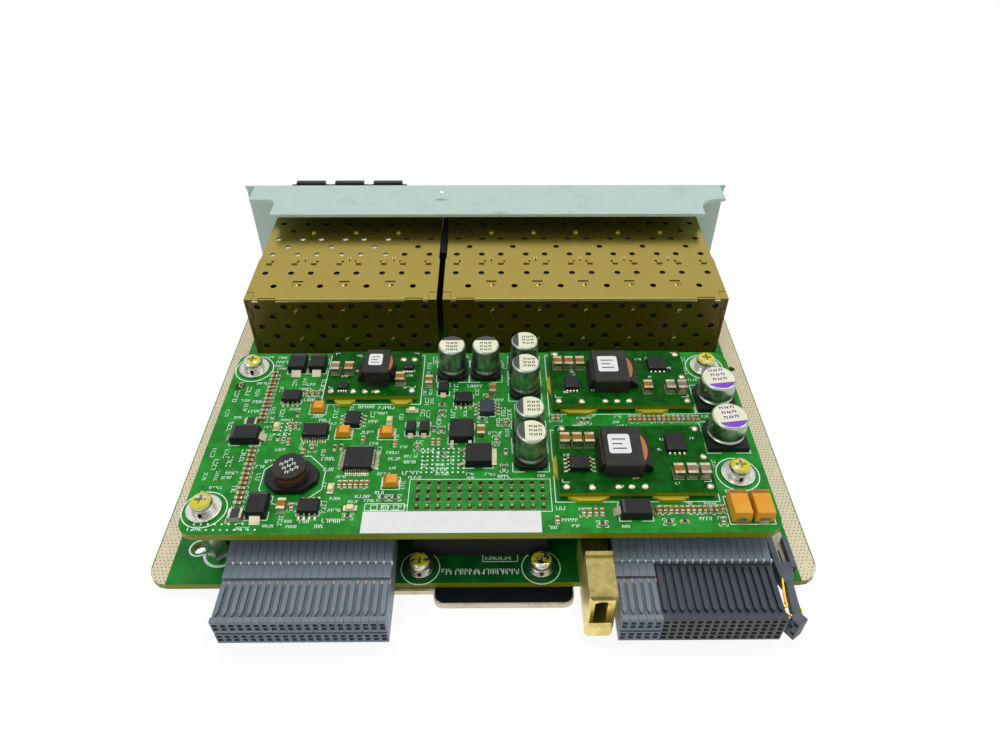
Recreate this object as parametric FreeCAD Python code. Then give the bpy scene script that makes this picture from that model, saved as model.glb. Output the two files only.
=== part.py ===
import FreeCAD, Part
import math
import os

# Switch line card: two stacked cages of small pluggable ports behind a bent steel front panel,
# a main board, a power board raised on standoffs, and the connectors of the backplane edge.
#
# Millimetres. The pieces are drawn with X across the card, Y from the backplane edge towards
# the front panel and Z up, with Z = 0 on the upper face of the main board. At the end all of
# them are moved together, so that the origin is at the bottom centre of the whole card.

V = FreeCAD.Vector
X_AXIS = V(1, 0, 0)
Y_AXIS = V(0, 1, 0)
Z_AXIS = V(0, 0, 1)

# ---- driving dimensions ------------------------------------------------------------------

# boards
BOARD_WIDTH = 163.9
BOARD_DEPTH = 141.7
BOARD_THICKNESS = 1.9
BOARD_CORNER = 5.0
CORNER_CHORDS = 4
POWER_LEFT, POWER_RIGHT = -70.8, 69.5
POWER_FRONT, POWER_BACK = 2.0, 65.7
POWER_THICKNESS = 2.0
POWER_CORNER = 4.0
STANDOFF_HEIGHT = 15.1
STANDOFF_FLATS = 5.5
STANDOFF_PLACES = ((-65.8, 9.2), (-65.4, 59.0), (62.5, 59.1), (62.5, 19.3))
POWER_TOP = STANDOFF_HEIGHT + POWER_THICKNESS
SCREW_HOLE_RADIUS = 1.6
GUIDE_SCREW_PLACES = ((-15.8, 4.3), (13.9, 4.3))

# front panel and the plate that the card stands on
PANEL_WIDTH = 169.8
PANEL_INNER = 142.0
PANEL_THICKNESS = 1.0
PANEL_TOP = 30.4
PANEL_BEND = 2.0
FLANGE_EDGE = 121.5
FLANGE_WIDE_EDGE = 131.6
FLANGE_LEFT, FLANGE_RIGHT = -81.4, 82.8
UNDERSIDE = -3.75
FILM_THICKNESS = 0.25
PLATE_TOP = -BOARD_THICKNESS - FILM_THICKNESS

# port cages
PORT_PITCH = 14.25
LEFT_PORTS, RIGHT_PORTS = 4, 6
LEFT_CAGE_CENTRE, RIGHT_CAGE_CENTRE = -43.7, 30.3
SHEET = 0.3
CAGE_TOP = 24.4
CAGE_REAR = 81.95
CAGE_FRONT = 145.0
CAGE_STEP = 104.0          # the side walls are doubled from here to the rear
CAGE_FLOOR_START = 99.0
SPACER_BOTTOM, SPACER_TOP = 9.9, 14.5
VENT_RADIUS = 0.97
VENT_OFFSET = 4.05

# backplane connectors
WAFER_PITCH = 1.85
WAFER_GAP = 0.06
LEFT_WAFERS, RIGHT_WAFERS, RIGHT_FACES = 21, 20, 5
LEFT_CONNECTOR, RIGHT_CONNECTOR = -60.4, 30.5      # X of each connector's left end
FACE_FRONT = -15.0
FACE_BACK = -0.3
FACE_BOTTOM = -0.4
FACE_TOP = 8.6
FACE_BODY_TOP = 7.8

# converter modules on the power board
MODULE_GAP = 1.0
MODULE_THICKNESS = 1.2
MODULE_BOTTOM = POWER_TOP + MODULE_GAP
MODULE_TOP = MODULE_BOTTOM + MODULE_THICKNESS
REAR_MODULE = (18.1, 55.7, 41.2, 63.8)
FRONT_MODULE = (18.0, 55.6, 11.8, 33.9)
LEFT_MODULE = (-43.4, -18.1, 45.3, 63.9)

# ---- general shapes ----------------------------------------------------------------------


def block(x0, x1, y0, y1, z0, z1):
    """A rectangular block between two corners."""
    return Part.makeBox(x1 - x0, y1 - y0, z1 - z0, V(x0, y0, z0))


def centred_block(x, y, z, width, depth, height):
    """A block standing on z, with its middle over (x, y)."""
    return block(x - width / 2, x + width / 2, y - depth / 2, y + depth / 2, z, z + height)


def regular_outline(x, y, radius, sides, start=0.0):
    """The corners of a regular polygon, as plan points."""
    angles = [math.radians(start + 360 * k / sides) for k in range(sides)]
    return [(x + radius * math.cos(a), y + radius * math.sin(a)) for a in angles]


def bar(x, y, z0, z1, radius, sides):
    """An upright bar on a regular polygon."""
    return plan_prism(regular_outline(x, y, radius, sides, 180 / sides), z0, z1)


def tapered_bar(x, y, z0, z1, low_radius, high_radius, sides):
    """An upright bar on a regular polygon that narrows towards its top."""
    outlines = []
    for z, radius in ((z0, low_radius), (z1, high_radius)):
        corners = [V(px, py, z) for px, py in regular_outline(x, y, radius, sides, 180 / sides)]
        outlines.append(Part.makePolygon(corners + [corners[0]]))
    return Part.makeLoft(outlines, True, True)


def pyramid(x, y, z0, z1, radius, sides):
    """A pointed cone with flat sides."""
    corners = [V(px, py, z0) for px, py in regular_outline(x, y, radius, sides, 180 / sides)]
    tip = V(x, y, z1)
    faces = [Part.Face(Part.makePolygon(corners + [corners[0]]))]
    for near, far in zip(corners, corners[1:] + corners[:1]):
        faces.append(Part.Face(Part.makePolygon([near, far, tip, near])))
    return Part.Solid(Part.Shell(faces))


def rod(x, y, z0, z1, radius):
    """An upright cylinder."""
    return Part.makeCylinder(radius, z1 - z0, V(x, y, z0))


def ring(x, y, z0, z1, radius, bore, sides, bore_sides):
    """An upright tube with flat sides."""
    return bar(x, y, z0, z1, radius, sides).cut(bar(x, y, z0 - 1, z1 + 1, bore, bore_sides))


def polygon_prism(points, thickness_vector):
    """A straight prism on a closed polygon of points."""
    outline = Part.makePolygon(list(points) + [points[0]])
    return Part.Face(outline).extrude(thickness_vector)


def side_prism(profile, x0, x1):
    """A prism that runs across the card, from a profile of (y, z) points."""
    return polygon_prism([V(x0, y, z) for y, z in profile], V(x1 - x0, 0, 0))


def plan_prism(outline, z0, z1):
    """An upright prism on a plan outline of (x, y) points."""
    return polygon_prism([V(x, y, z0) for x, y in outline], V(0, 0, z1 - z0))


def rounded_outline(x0, x1, y0, y1, radii):
    """Plan outline of a rectangle with its corners rounded in short chords."""
    corners = ((x0, y0, 1, 1, 180), (x1, y0, -1, 1, 270), (x1, y1, -1, -1, 0), (x0, y1, 1, -1, 90))
    outline = []
    for (x, y, in_x, in_y, start), radius in zip(corners, radii):
        if radius == 0:
            outline.append((x, y))
            continue
        for k in range(CORNER_CHORDS + 1):
            angle = math.radians(start + 90 * k / CORNER_CHORDS)
            outline.append((x + radius * (in_x + math.cos(angle)),
                            y + radius * (in_y + math.sin(angle))))
    return outline


def rounded_plate(x0, x1, y0, y1, z0, z1, radii):
    """A plate with its upright corners rounded: radii at (x0 y0), (x1 y0), (x1 y1), (x0 y1)."""
    return plan_prism(rounded_outline(x0, x1, y0, y1, radii), z0, z1)


def stands_at(edge, x, y):
    """True for a straight upright edge over the plan point (x, y)."""
    tolerance = 1e-6
    ends = [vertex.Point for vertex in edge.Vertexes]
    return len(ends) == 2 and all(
        abs(point.x - x) < tolerance and abs(point.y - y) < tolerance for point in ends)


def quarter_turned(shape, x, y):
    """The shape turned by a quarter about the upright line through (x, y)."""
    copy = shape.copy()
    copy.rotate(V(x, y, 0), Z_AXIS, 90)
    return copy


def group(solids):
    """Separate solids that share one node."""
    return Part.makeCompound(list(solids))


def joined(first, others):
    """One solid from pieces that touch."""
    return first.fuse(list(others)).removeSplitter()


# ---- boards, panel and plate -------------------------------------------------------------


def main_board():
    half = BOARD_WIDTH / 2
    board = rounded_plate(-half, half, 0, BOARD_DEPTH, -BOARD_THICKNESS, 0,
                          (BOARD_CORNER, BOARD_CORNER, 0, 0))
    tooling_hole = rod(78.2, 77.4, -3, 1, 1.1)
    bare_hole = bar(-71.8, 10.4, -3, 1, 1.6, 12)
    screw_holes = [bar(x, y, -3, 1, SCREW_HOLE_RADIUS, 6) for x, y in GUIDE_SCREW_PLACES]
    return board.cut([tooling_hole, bare_hole] + screw_holes)


def power_board():
    board = rounded_plate(POWER_LEFT, POWER_RIGHT, POWER_FRONT, POWER_BACK,
                          STANDOFF_HEIGHT, POWER_TOP, (POWER_CORNER,) * 4)
    screw_holes = [bar(x, y, 10, 20, SCREW_HOLE_RADIUS, 6) for x, y in STANDOFF_PLACES]
    bare_hole = bar(-67.7, 51.7, 10, 20, 1.6, 12)
    return board.cut([bare_hole] + screw_holes)


def front_panel():
    """One bent sheet: the panel face, and a flange folded back over the cages."""
    half = PANEL_WIDTH / 2
    outer = PANEL_INNER + PANEL_THICKNESS
    under_flange = PANEL_TOP - PANEL_THICKNESS
    bend = [(outer - PANEL_BEND * (1 - math.cos(math.radians(a))),
             PANEL_TOP - PANEL_BEND * (1 - math.sin(math.radians(a)))) for a in (0, 30, 60, 90)]
    section = [(PANEL_INNER, UNDERSIDE), (outer, UNDERSIDE)] + bend
    section += [(FLANGE_EDGE, PANEL_TOP), (FLANGE_EDGE, under_flange), (PANEL_INNER, under_flange)]
    panel = side_prism(section, -half, half)
    notches = [corner_notch(-1, 12.7, 2.8), corner_notch(1, 11.3, 6.0)]
    bend_start = outer - PANEL_BEND
    ends = [block(low, high, FLANGE_EDGE, bend_start, under_flange - 1, PANEL_TOP + 1)
            for low, high in ((-half - 1, FLANGE_LEFT), (FLANGE_RIGHT, half + 1))]
    windows = [cage_window(LEFT_CAGE_CENTRE, LEFT_PORTS),
               cage_window(RIGHT_CAGE_CENTRE, RIGHT_PORTS)]
    return panel.cut(notches + ends + windows)


def runs_along(edge, y, z):
    """True for a straight edge across the card at the given y and z."""
    tolerance = 1e-6
    return all(abs(vertex.Point.y - y) < tolerance and abs(vertex.Point.z - z) < tolerance
               for vertex in edge.Vertexes)


def corner_notch(side, width, radius):
    """The piece cut from a corner of the flange, with a round inner corner."""
    half = PANEL_WIDTH / 2
    low, high = sorted((side * (half + 1), side * (half - width)))
    radii = (0, 0, radius, 0) if side < 0 else (0, 0, 0, radius)
    return rounded_plate(low, high, FLANGE_EDGE - 10, FLANGE_WIDE_EDGE,
                         PANEL_TOP - 5, PANEL_TOP + 5, radii)


def cage_window(centre, ports):
    """The opening in the panel that a cage's mouth passes through."""
    clearance = 0.4
    half = cage_width(ports) / 2 + clearance
    return block(centre - half, centre + half, PANEL_INNER - 1, PANEL_INNER + 3,
                 -clearance, CAGE_TOP + clearance)


def stiffener_plate():
    """Steel plate under the backplane edge, with a tab that reaches past the board."""
    strip = block(-58.0, 21.7, -0.8, 12.0, UNDERSIDE, PLATE_TOP)
    tab = rounded_plate(-12.3, 21.7, -4.6, 2.0, UNDERSIDE, PLATE_TOP, (2.4, 2.4, 0, 0))
    plate = joined(strip, [tab])
    return plate.cut([bar(x, y, UNDERSIDE - 1, 0, 1.3, 6) for x, y in GUIDE_SCREW_PLACES])


def insulating_film():
    """Film between the plate and the board, over the tab and the bar behind it."""
    film = rounded_plate(-12.0, 21.4, -4.1, 12.0, PLATE_TOP, -BOARD_THICKNESS,
                         (2.2, 2.2, 0, 0))
    return film.cut([bar(x, y, PLATE_TOP - 1, 0, SCREW_HOLE_RADIUS, 6)
                     for x, y in GUIDE_SCREW_PLACES])


# ---- fasteners ---------------------------------------------------------------------------

SCREW_RADIUS = 1.2
HEAD_RADIUS = 2.8
HEAD_HEIGHT = 2.4
FLAT_WASHER_HEIGHT = 0.7
SPRING_WASHER_HEIGHT = 0.8
POWER_WASHER_RADIUS = 4.5
GUIDE_WASHER_RADIUS = 3.5


def standoffs():
    """Hexagonal posts between the boards, with a threaded hole at the top."""
    corner = STANDOFF_FLATS / math.sqrt(3)
    hole_depth = 5.0
    return group(bar(x, y, 0, STANDOFF_HEIGHT, corner, 6)
                 .cut(bar(x, y, STANDOFF_HEIGHT - hole_depth, STANDOFF_HEIGHT + 1, 1.3, 6))
                 for x, y in STANDOFF_PLACES)


def screw_places():
    """Plan place, height of the face clamped, and washer radius, of each screw."""
    upper = [(x, y, POWER_TOP, POWER_WASHER_RADIUS) for x, y in STANDOFF_PLACES]
    lower = [(x, y, 0.0, GUIDE_WASHER_RADIUS) for x, y in GUIDE_SCREW_PLACES]
    return upper + lower


def pan_screw(x, y, seat, tip):
    """A pan-head screw: shank from seat down to tip, head above."""
    head = tapered_bar(x, y, seat, seat + HEAD_HEIGHT, HEAD_RADIUS, HEAD_RADIUS * 0.75, 8)
    return joined(head, [bar(x, y, tip, seat, SCREW_RADIUS, 6)])


def board_screws():
    washers = FLAT_WASHER_HEIGHT + SPRING_WASHER_HEIGHT
    shank = 7.5
    lower_shank = 5.0
    screws = []
    for x, y, face, _ in screw_places():
        length = shank if face > 0 else lower_shank
        screws.append(pan_screw(x, y, face + washers, face + washers - length))
    return group(screws)


def spring_washers():
    low = FLAT_WASHER_HEIGHT
    high = FLAT_WASHER_HEIGHT + SPRING_WASHER_HEIGHT
    return group(split_ring(x, y, face + low, face + high) for x, y, face, _ in screw_places())


def split_ring(x, y, z0, z1):
    """A spring washer: a ring that is cut through at one place."""
    outer, inner = 3.05, 1.9
    start, turn = -80, 340
    far = [math.radians(start + turn * k / 6) for k in range(7)]
    near = [math.radians(start + turn * k / 4) for k in range(4, -1, -1)]
    outline = [(x + outer * math.cos(a), y + outer * math.sin(a)) for a in far]
    outline += [(x + inner * math.cos(a), y + inner * math.sin(a)) for a in near]
    return plan_prism(outline, z0, z1)


def flat_washers():
    return group(ring(x, y, face, face + FLAT_WASHER_HEIGHT, radius, SCREW_HOLE_RADIUS, 8, 6)
                 for x, y, face, radius in screw_places())


# ---- port cages --------------------------------------------------------------------------


def cage_width(ports):
    return ports * PORT_PITCH + SHEET


def port_centres(centre, ports):
    return [centre + (k - (ports - 1) / 2) * PORT_PITCH for k in range(ports)]


def divider_places(centre, ports):
    return [centre + (k - ports / 2) * PORT_PITCH for k in range(1, ports)]


DIVIDER_BUMPS = (119.9, 103.8)      # where the dividers' tabs pass the cover
BUMP_LENGTH = 1.3
WINDOW_FRONT, WINDOW_BACK = 88.4, 91.8
WINDOW_WIDTH = 3.2
REAR_BUMP_HEIGHTS = (8.9, 19.9)
HOOK_WIDTH = 5.4                    # hooks of the rear sheet over the cover's lip
HOOK_INSET = 6.5
CORNER_TAB_WIDTH, CORNER_TAB_DEPTH = 2.1, 3.7


def rectangle(x, y, width, depth):
    """A closed wire in the XY plane."""
    w, d = width / 2, depth / 2
    corners = [V(x - w, y - d, 0), V(x + w, y - d, 0), V(x + w, y + d, 0), V(x - w, y + d, 0)]
    return Part.makePolygon(corners + [corners[0]])


def vent_hole(x, y):
    """A closed wire round one vent hole, drawn with six sides."""
    corners = [V(px, py, 0) for px, py in regular_outline(x, y, VENT_RADIUS, 6, 30)]
    return Part.makePolygon(corners + [corners[0]])


def punched_sheet(outline, cut_outs):
    """A flat sheet on the XY plane, with cut-outs punched through."""
    corners = [V(x, y, 0) for x, y in outline]
    outer = Part.makePolygon(corners + [corners[0]])
    face = Part.Face([outer] + list(cut_outs))
    face.validate()
    return face.extrude(V(0, 0, SHEET))


def vent_rows(positions, x):
    """Round holes over one port: pairs and singles in turn at the given distances."""
    holes = []
    for distance, pair in positions:
        offsets = (-VENT_OFFSET, VENT_OFFSET) if pair else (0,)
        holes += [vent_hole(x + offset, distance) for offset in offsets]
    return holes


COVER_ROWS = ((89.0, False), (96.0, True), (106.6, True), (111.1, False), (115.9, True),
              (120.9, False), (125.6, True))
REAR_ROWS = ((6.3, True), (10.1, False), (13.9, True), (17.75, False), (21.5, True))


def hook_places(centre, ports):
    """Middles of the two hooks of a rear sheet."""
    reach = cage_width(ports) / 2 - HOOK_INSET
    return (centre - reach, centre + reach)


def cage_cover(centre, ports):
    """The perforated top sheet, with its short lip turned down at the rear."""
    half = cage_width(ports) / 2
    wide = half + SHEET
    tab_x = half - CORNER_TAB_WIDTH
    tab_y = CAGE_REAR + CORNER_TAB_DEPTH + SHEET
    outline = [(-tab_x, CAGE_REAR), (tab_x, CAGE_REAR), (tab_x, tab_y), (wide, tab_y),
               (wide, CAGE_STEP), (half, CAGE_STEP), (half, CAGE_FRONT), (-half, CAGE_FRONT),
               (-half, CAGE_STEP), (-wide, CAGE_STEP), (-wide, tab_y), (-tab_x, tab_y)]
    outline = [(centre + x, y) for x, y in outline]
    cut_outs = []
    for x in port_centres(centre, ports):
        cut_outs += vent_rows(COVER_ROWS, x)
    for x in divider_places(centre, ports):
        cut_outs += [rectangle(x, y, 2 * SHEET, BUMP_LENGTH + 0.1) for y in DIVIDER_BUMPS]
        cut_outs.append(rectangle(x, (WINDOW_FRONT + WINDOW_BACK) / 2,
                                  WINDOW_WIDTH, WINDOW_BACK - WINDOW_FRONT))
    sheet = punched_sheet(outline, cut_outs)
    sheet.translate(V(0, 0, CAGE_TOP - SHEET))
    lip_drop = 0.6
    lip = block(centre - tab_x, centre + tab_x, CAGE_REAR, CAGE_REAR + SHEET,
                CAGE_TOP - SHEET - lip_drop, CAGE_TOP - SHEET)
    notches = [block(x - HOOK_WIDTH / 2, x + HOOK_WIDTH / 2, CAGE_REAR - 1,
                     CAGE_REAR + 3 * SHEET, CAGE_TOP - 2, CAGE_TOP + 1)
               for x in hook_places(centre, ports)]
    return sheet.fuse(lip).cut(notches).removeSplitter()


def cage_rear(centre, ports):
    """The perforated rear sheet, with hooks over the cover's lip."""
    half = cage_width(ports) / 2 - SHEET
    bottom, top = 0.1, CAGE_TOP - SHEET
    outline = [(centre - half, bottom), (centre + half, bottom),
               (centre + half, top), (centre - half, top)]
    cut_outs = []
    for x in port_centres(centre, ports):
        cut_outs += vent_rows(REAR_ROWS, x)
    for x in divider_places(centre, ports):
        cut_outs += [rectangle(x, z, 2 * SHEET, BUMP_LENGTH + 0.1) for z in REAR_BUMP_HEIGHTS]
    sheet = punched_sheet(outline, cut_outs)
    sheet.rotate(V(0, 0, 0), X_AXIS, 90)
    sheet.translate(V(0, CAGE_REAR + 2 * SHEET, 0))
    slack = 0.1
    hooks = [block(x - HOOK_WIDTH / 2 + slack, x + HOOK_WIDTH / 2 - slack, CAGE_REAR,
                   CAGE_REAR + 2 * SHEET, top, CAGE_TOP) for x in hook_places(centre, ports)]
    return joined(sheet, hooks)


def cage_body(centre, ports):
    """Floor and side walls in one sheet, the walls doubled at the rear and tabbed round it."""
    half = cage_width(ports) / 2
    top = CAGE_TOP - SHEET
    body = block(centre - half, centre + half, CAGE_FLOOR_START, CAGE_FRONT, 0, SHEET)
    pieces = []
    for side in (-1, 1):
        outer, inner, doubled = side * half, side * (half - SHEET), side * (half + SHEET)
        pieces.append(side_block(centre, outer, inner, CAGE_REAR, CAGE_FRONT, 0, top))
        pieces.append(side_block(centre, doubled, outer, CAGE_REAR, CAGE_STEP, 0, top))
        pieces.append(side_block(centre, doubled, side * (half - CORNER_TAB_WIDTH + 0.1),
                                 CAGE_REAR, CAGE_REAR + CORNER_TAB_DEPTH, top, CAGE_TOP))
        for low, high in ((6.2, 9.3), (17.3, 20.5)):
            pieces.append(side_block(centre, inner, side * (half - 1.2),
                                     CAGE_REAR, CAGE_REAR + SHEET, low, high))
    return joined(body, pieces)


def side_block(centre, xa, xb, y0, y1, z0, z1):
    """A block between two distances from a cage's centre line, in either order."""
    low, high = sorted((xa, xb))
    return block(centre + low, centre + high, y0, y1, z0, z1)


def cage_dividers(centre, ports):
    """The upright sheets between ports, with tabs through the cover and the rear sheet."""
    low, high = SHEET, CAGE_TOP - SHEET
    rear, front = CAGE_REAR + 2 * SHEET, CAGE_FRONT - 1.0
    proud = 0.45
    dividers = []
    for x in divider_places(centre, ports):
        sheet = block(x - SHEET / 2, x + SHEET / 2, rear, front, low, high)
        tabs = [centred_block(x, y, high, SHEET, BUMP_LENGTH, SHEET + proud)
                for y in DIVIDER_BUMPS]
        tabs.append(block(x - SHEET / 2, x + SHEET / 2, 88.8, 90.3, high, CAGE_TOP))
        tabs += [block(x - SHEET / 2, x + SHEET / 2, CAGE_REAR - 0.3, rear,
                       z - BUMP_LENGTH / 2, z + BUMP_LENGTH / 2) for z in REAR_BUMP_HEIGHTS]
        dividers.append(joined(sheet, tabs))
    return group(dividers)


def cage_spacers(centre, ports):
    """The folded channels between lower and upper ports, with a closed face at the mouth."""
    width = PORT_PITCH - SHEET - 0.1
    rear, front = 93.0, CAGE_FRONT - 1.5
    channels = []
    for x in port_centres(centre, ports):
        shell = centred_block(x, (rear + front) / 2, SPACER_BOTTOM, width, front - rear,
                              SPACER_TOP - SPACER_BOTTOM)
        hollow = block(x - width / 2 + SHEET, x + width / 2 - SHEET, rear - 1, front - SHEET,
                       SPACER_BOTTOM + SHEET, SPACER_TOP - SHEET)
        channels.append(shell.cut(hollow))
    return group(channels)


def port_connectors(centre, ports):
    """One stacked contact block for each column of ports."""
    rear = CAGE_REAR + 2 * SHEET + 0.4
    front = 92.6
    return group(block(x - 6.3, x + 6.3, rear, front, 0, 22.8)
                 for x in port_centres(centre, ports))


PLUG_REACH = 156.0


def port_plugs():
    """Dust plugs in three upper ports: a pressed-in box with a collar and a finger bar."""
    plugs = []
    for x in port_centres(LEFT_CAGE_CENTRE, LEFT_PORTS)[:3]:
        shank = block(x - 6.4, x + 6.4, 124.0, CAGE_FRONT, SPACER_TOP + 0.3, CAGE_TOP - 0.6)
        collar_profile = [(CAGE_FRONT, SPACER_TOP), (PLUG_REACH - 1.5, SPACER_TOP + 0.8),
                          (PLUG_REACH, SPACER_TOP + 2.2), (PLUG_REACH, CAGE_TOP - 1.4),
                          (PLUG_REACH - 1.5, CAGE_TOP - 0.4), (CAGE_FRONT, CAGE_TOP + 0.2)]
        collar = side_prism(collar_profile, x - 6.9, x + 6.9)
        bar = block(x - 5.3, x + 5.3, PLUG_REACH - 2.0, PLUG_REACH, CAGE_TOP - 1.4, CAGE_TOP + 0.3)
        plugs.append(joined(shank, [collar, bar]))
    return group(plugs)


# ---- backplane connectors ----------------------------------------------------------------

RIB_WIDTH = 0.95


def wafer_centres(start, count):
    return [start + WAFER_PITCH * (k + 0.5) for k in range(count)]


def pointed_rib(x, rear, tip, z0, z1):
    """A raised rib along the connector, with a pointed end towards the backplane."""
    w = RIB_WIDTH / 2
    shoulder = tip + 1.2
    return plan_prism([(x - w, rear), (x - w, shoulder), (x, tip), (x + w, shoulder),
                       (x + w, rear)], z0, z1)


def blunt_rib(x, rear, front, z0, z1):
    """A raised rib with a blunt chamfered end towards the backplane."""
    w = RIB_WIDTH / 2
    return plan_prism([(x - w, rear), (x - w, front + w), (x - w / 2, front), (x + w / 2, front),
                       (x + w, front + w), (x + w, rear)], z0, z1)


def connector_face(x):
    """One receptacle module: slim body, front band, pointed rib and rear pad."""
    w = (WAFER_PITCH - WAFER_GAP) / 2
    body = side_prism([(FACE_FRONT, FACE_BOTTOM), (FACE_BACK, FACE_BOTTOM),
                       (FACE_BACK, FACE_TOP), (-3.9, FACE_TOP), (-3.9, FACE_BODY_TOP),
                       (-13.8, FACE_BODY_TOP), (-13.8, FACE_TOP), (FACE_FRONT, FACE_TOP)],
                      x - w, x + w)
    return joined(body, [pointed_rib(x, -5.4, -13.45, FACE_BODY_TOP, FACE_TOP)])


def connector_wafer(x):
    """The moulded wafer behind a face, which carries the contacts down to the board."""
    w = (WAFER_PITCH - 2 * WAFER_GAP) / 2
    return side_prism([(FACE_BACK, 0), (10.5, 0), (10.5, 11.2), (FACE_BACK, 9.0)], x - w, x + w)


def left_connector_faces():
    return group(connector_face(x) for x in wafer_centres(LEFT_CONNECTOR, LEFT_WAFERS))


def left_connector_wafers():
    return group(connector_wafer(x) for x in wafer_centres(LEFT_CONNECTOR, LEFT_WAFERS))


def right_connector_faces():
    return group(connector_face(x) for x in wafer_centres(RIGHT_CONNECTOR, RIGHT_FACES))


def right_connector_wafers():
    return group(connector_wafer(x) for x in wafer_centres(RIGHT_CONNECTOR, RIGHT_WAFERS))


def right_connector_housing():
    """One moulding for the remaining columns, with a blunt rib over each column."""
    columns = wafer_centres(RIGHT_CONNECTOR, RIGHT_WAFERS)[RIGHT_FACES:]
    left = columns[0] - WAFER_PITCH / 2
    right = columns[-1] + WAFER_PITCH / 2
    body = side_prism([(FACE_FRONT, FACE_BOTTOM), (FACE_BACK, FACE_BOTTOM), (FACE_BACK, 7.2),
                       (-1.0, FACE_BODY_TOP), (-13.0, FACE_BODY_TOP), (-13.0, FACE_TOP),
                       (FACE_FRONT, FACE_TOP)], left, right)
    return joined(body, [blunt_rib(x, -1.2, -12.7, FACE_BODY_TOP, FACE_TOP) for x in columns])


def broken_wafer_frame():
    """What is left standing of the end module: an open frame on the board."""
    height = 2.2
    outer = block(71.0, 76.2, 2.6, 11.4, 0, height)
    inside = block(72.4, 74.9, 4.0, 12.0, -1, height + 1)
    return outer.cut(inside)


END_BLOCK_OUTLINE = ((69.0, -13.0), (70.5, -15.2), (72.8, -13.6), (71.3, -11.4))


def end_block_cavities():
    """Three contact holes in the face of the end block that is turned to the left."""
    (xa, ya), (xb, yb) = END_BLOCK_OUTLINE[:2]
    length = math.dist((xa, ya), (xb, yb))
    along = V((xb - xa) / length, (yb - ya) / length, 0)
    inward = V(-along.y, along.x, 0)
    cavities = []
    for distance, z in ((1.85, 4.3), (0.85, 2.6), (1.85, 0.9)):
        centre = V(xa, ya, z) + along * distance
        low = centre - along * 0.5 - inward * 0.5
        corners = [low, low + along, low + along + inward * 2.0, low + inward * 2.0]
        cavities.append(polygon_prism(corners, V(0, 0, 1.0)))
    return cavities


def broken_wafer_arm():
    """The torn-off arm of the end module: a lump, a thin neck and a skewed end block."""
    root = plan_prism([(70.1, 1.4), (73.4, 1.4), (73.4, -0.4), (70.1, -0.4)], 0, 4.4)
    lump = plan_prism([(69.9, 0.4), (73.6, 0.4), (73.4, -1.4), (72.5, -3.6), (70.6, -3.6),
                       (69.9, -1.4)], 2.0, 5.2)
    neck = plan_prism([(70.9, -3.4), (72.5, -3.4), (72.2, -9.0), (72.1, -13.2), (70.0, -13.2),
                       (70.3, -9.0)], 3.2, 5.3)
    end = plan_prism(END_BLOCK_OUTLINE, -0.5, 5.8)
    return joined(root, [lump, neck, end]).cut(end_block_cavities())


def bent_strip(points, z, width, thickness):
    """A flat metal strip that follows plan points, standing on edge at the height z."""
    pieces = []
    for (xa, ya), (xb, yb) in zip(points[:-1], points[1:]):
        length = math.dist((xa, ya), (xb, yb))
        across = V((ya - yb) / length * thickness / 2, (xb - xa) / length * thickness / 2, 0)
        start, end = V(xa, ya, z), V(xb, yb, z)
        corners = [start - across, start + across, end + across, end - across]
        pieces.append(polygon_prism(corners, V(0, 0, width)))
    return joined(pieces[0], pieces[1:])


def bent_contacts():
    """Contact strips left bare beside the torn-off arm."""
    height = 4.6
    strips = [bent_strip([(70.3, -2.6), (69.6, -6.7), (69.35, -8.8), (69.45, -9.6), (68.6, -10.1)],
                         height, 0.7, 0.4),
              bent_strip([(68.6, -10.8), (69.2, -11.5), (70.3, -12.4)], height - 0.4, 0.6, 0.35),
              bent_strip([(72.0, -9.9), (72.65, -10.8), (72.0, -11.9)], height - 0.2, 0.6, 0.35)]
    arm = broken_wafer_arm()
    return group(strip.cut(arm) for strip in strips)


def upright_arch(x, z, radius, y0, y1):
    """A bar that runs along the card, with the upper half of a round section."""
    angles = [math.radians(180 * k / 8) for k in range(9)]
    points = [V(x + radius * math.cos(a), y0, z + radius * math.sin(a)) for a in angles]
    return polygon_prism(points, V(0, y1 - y0, 0))


def guide_block():
    """Die-cast guide socket: arched mouth, narrow slot behind it and a foot on the board."""
    left, right = 23.1, 29.4
    middle = (left + right) / 2
    front, rear = -13.4, -1.6
    top, bottom = 14.4, -1.2
    body = block(left, right, front, rear, bottom, top)
    shoulder = [edge for edge in body.Edges if runs_along(edge, front, top)
                or stands_at(edge, left, front) or stands_at(edge, right, front)]
    body = body.makeChamfer(0.6, shoulder)
    lip = block(left, right, -2.6, rear, top, top + 0.8)
    foot = block(left, right, rear, 8.5, 0, 9.0)
    mouth_radius = 2.6
    mouth_bottom, mouth_spring = 4.5, 10.6
    mouth = block(middle - mouth_radius, middle + mouth_radius, front - 1, front + 1.6,
                  mouth_bottom, mouth_spring)
    arch = upright_arch(middle, mouth_spring, mouth_radius, front - 1, front + 1.6)
    slot = block(middle - 1.45, middle + 1.45, front - 1, front + 10.5,
                 mouth_bottom, mouth_spring + 1.6)
    under_board = block(left - 1, right + 1, 0, 20, -5, 0)
    return joined(body, [lip, foot]).cut([mouth, arch, slot, under_board])


# ---- power board: header, label and cans -------------------------------------------------

HEADER_COLUMNS, HEADER_ROWS = 13, 4
HEADER_PITCH = 2.5
HEADER_START = (-15.9, 9.3)


def header_places():
    x0, y0 = HEADER_START
    return [(x0 + HEADER_PITCH * i, y0 + HEADER_PITCH * j)
            for i in range(HEADER_COLUMNS) for j in range(HEADER_ROWS)]


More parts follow.
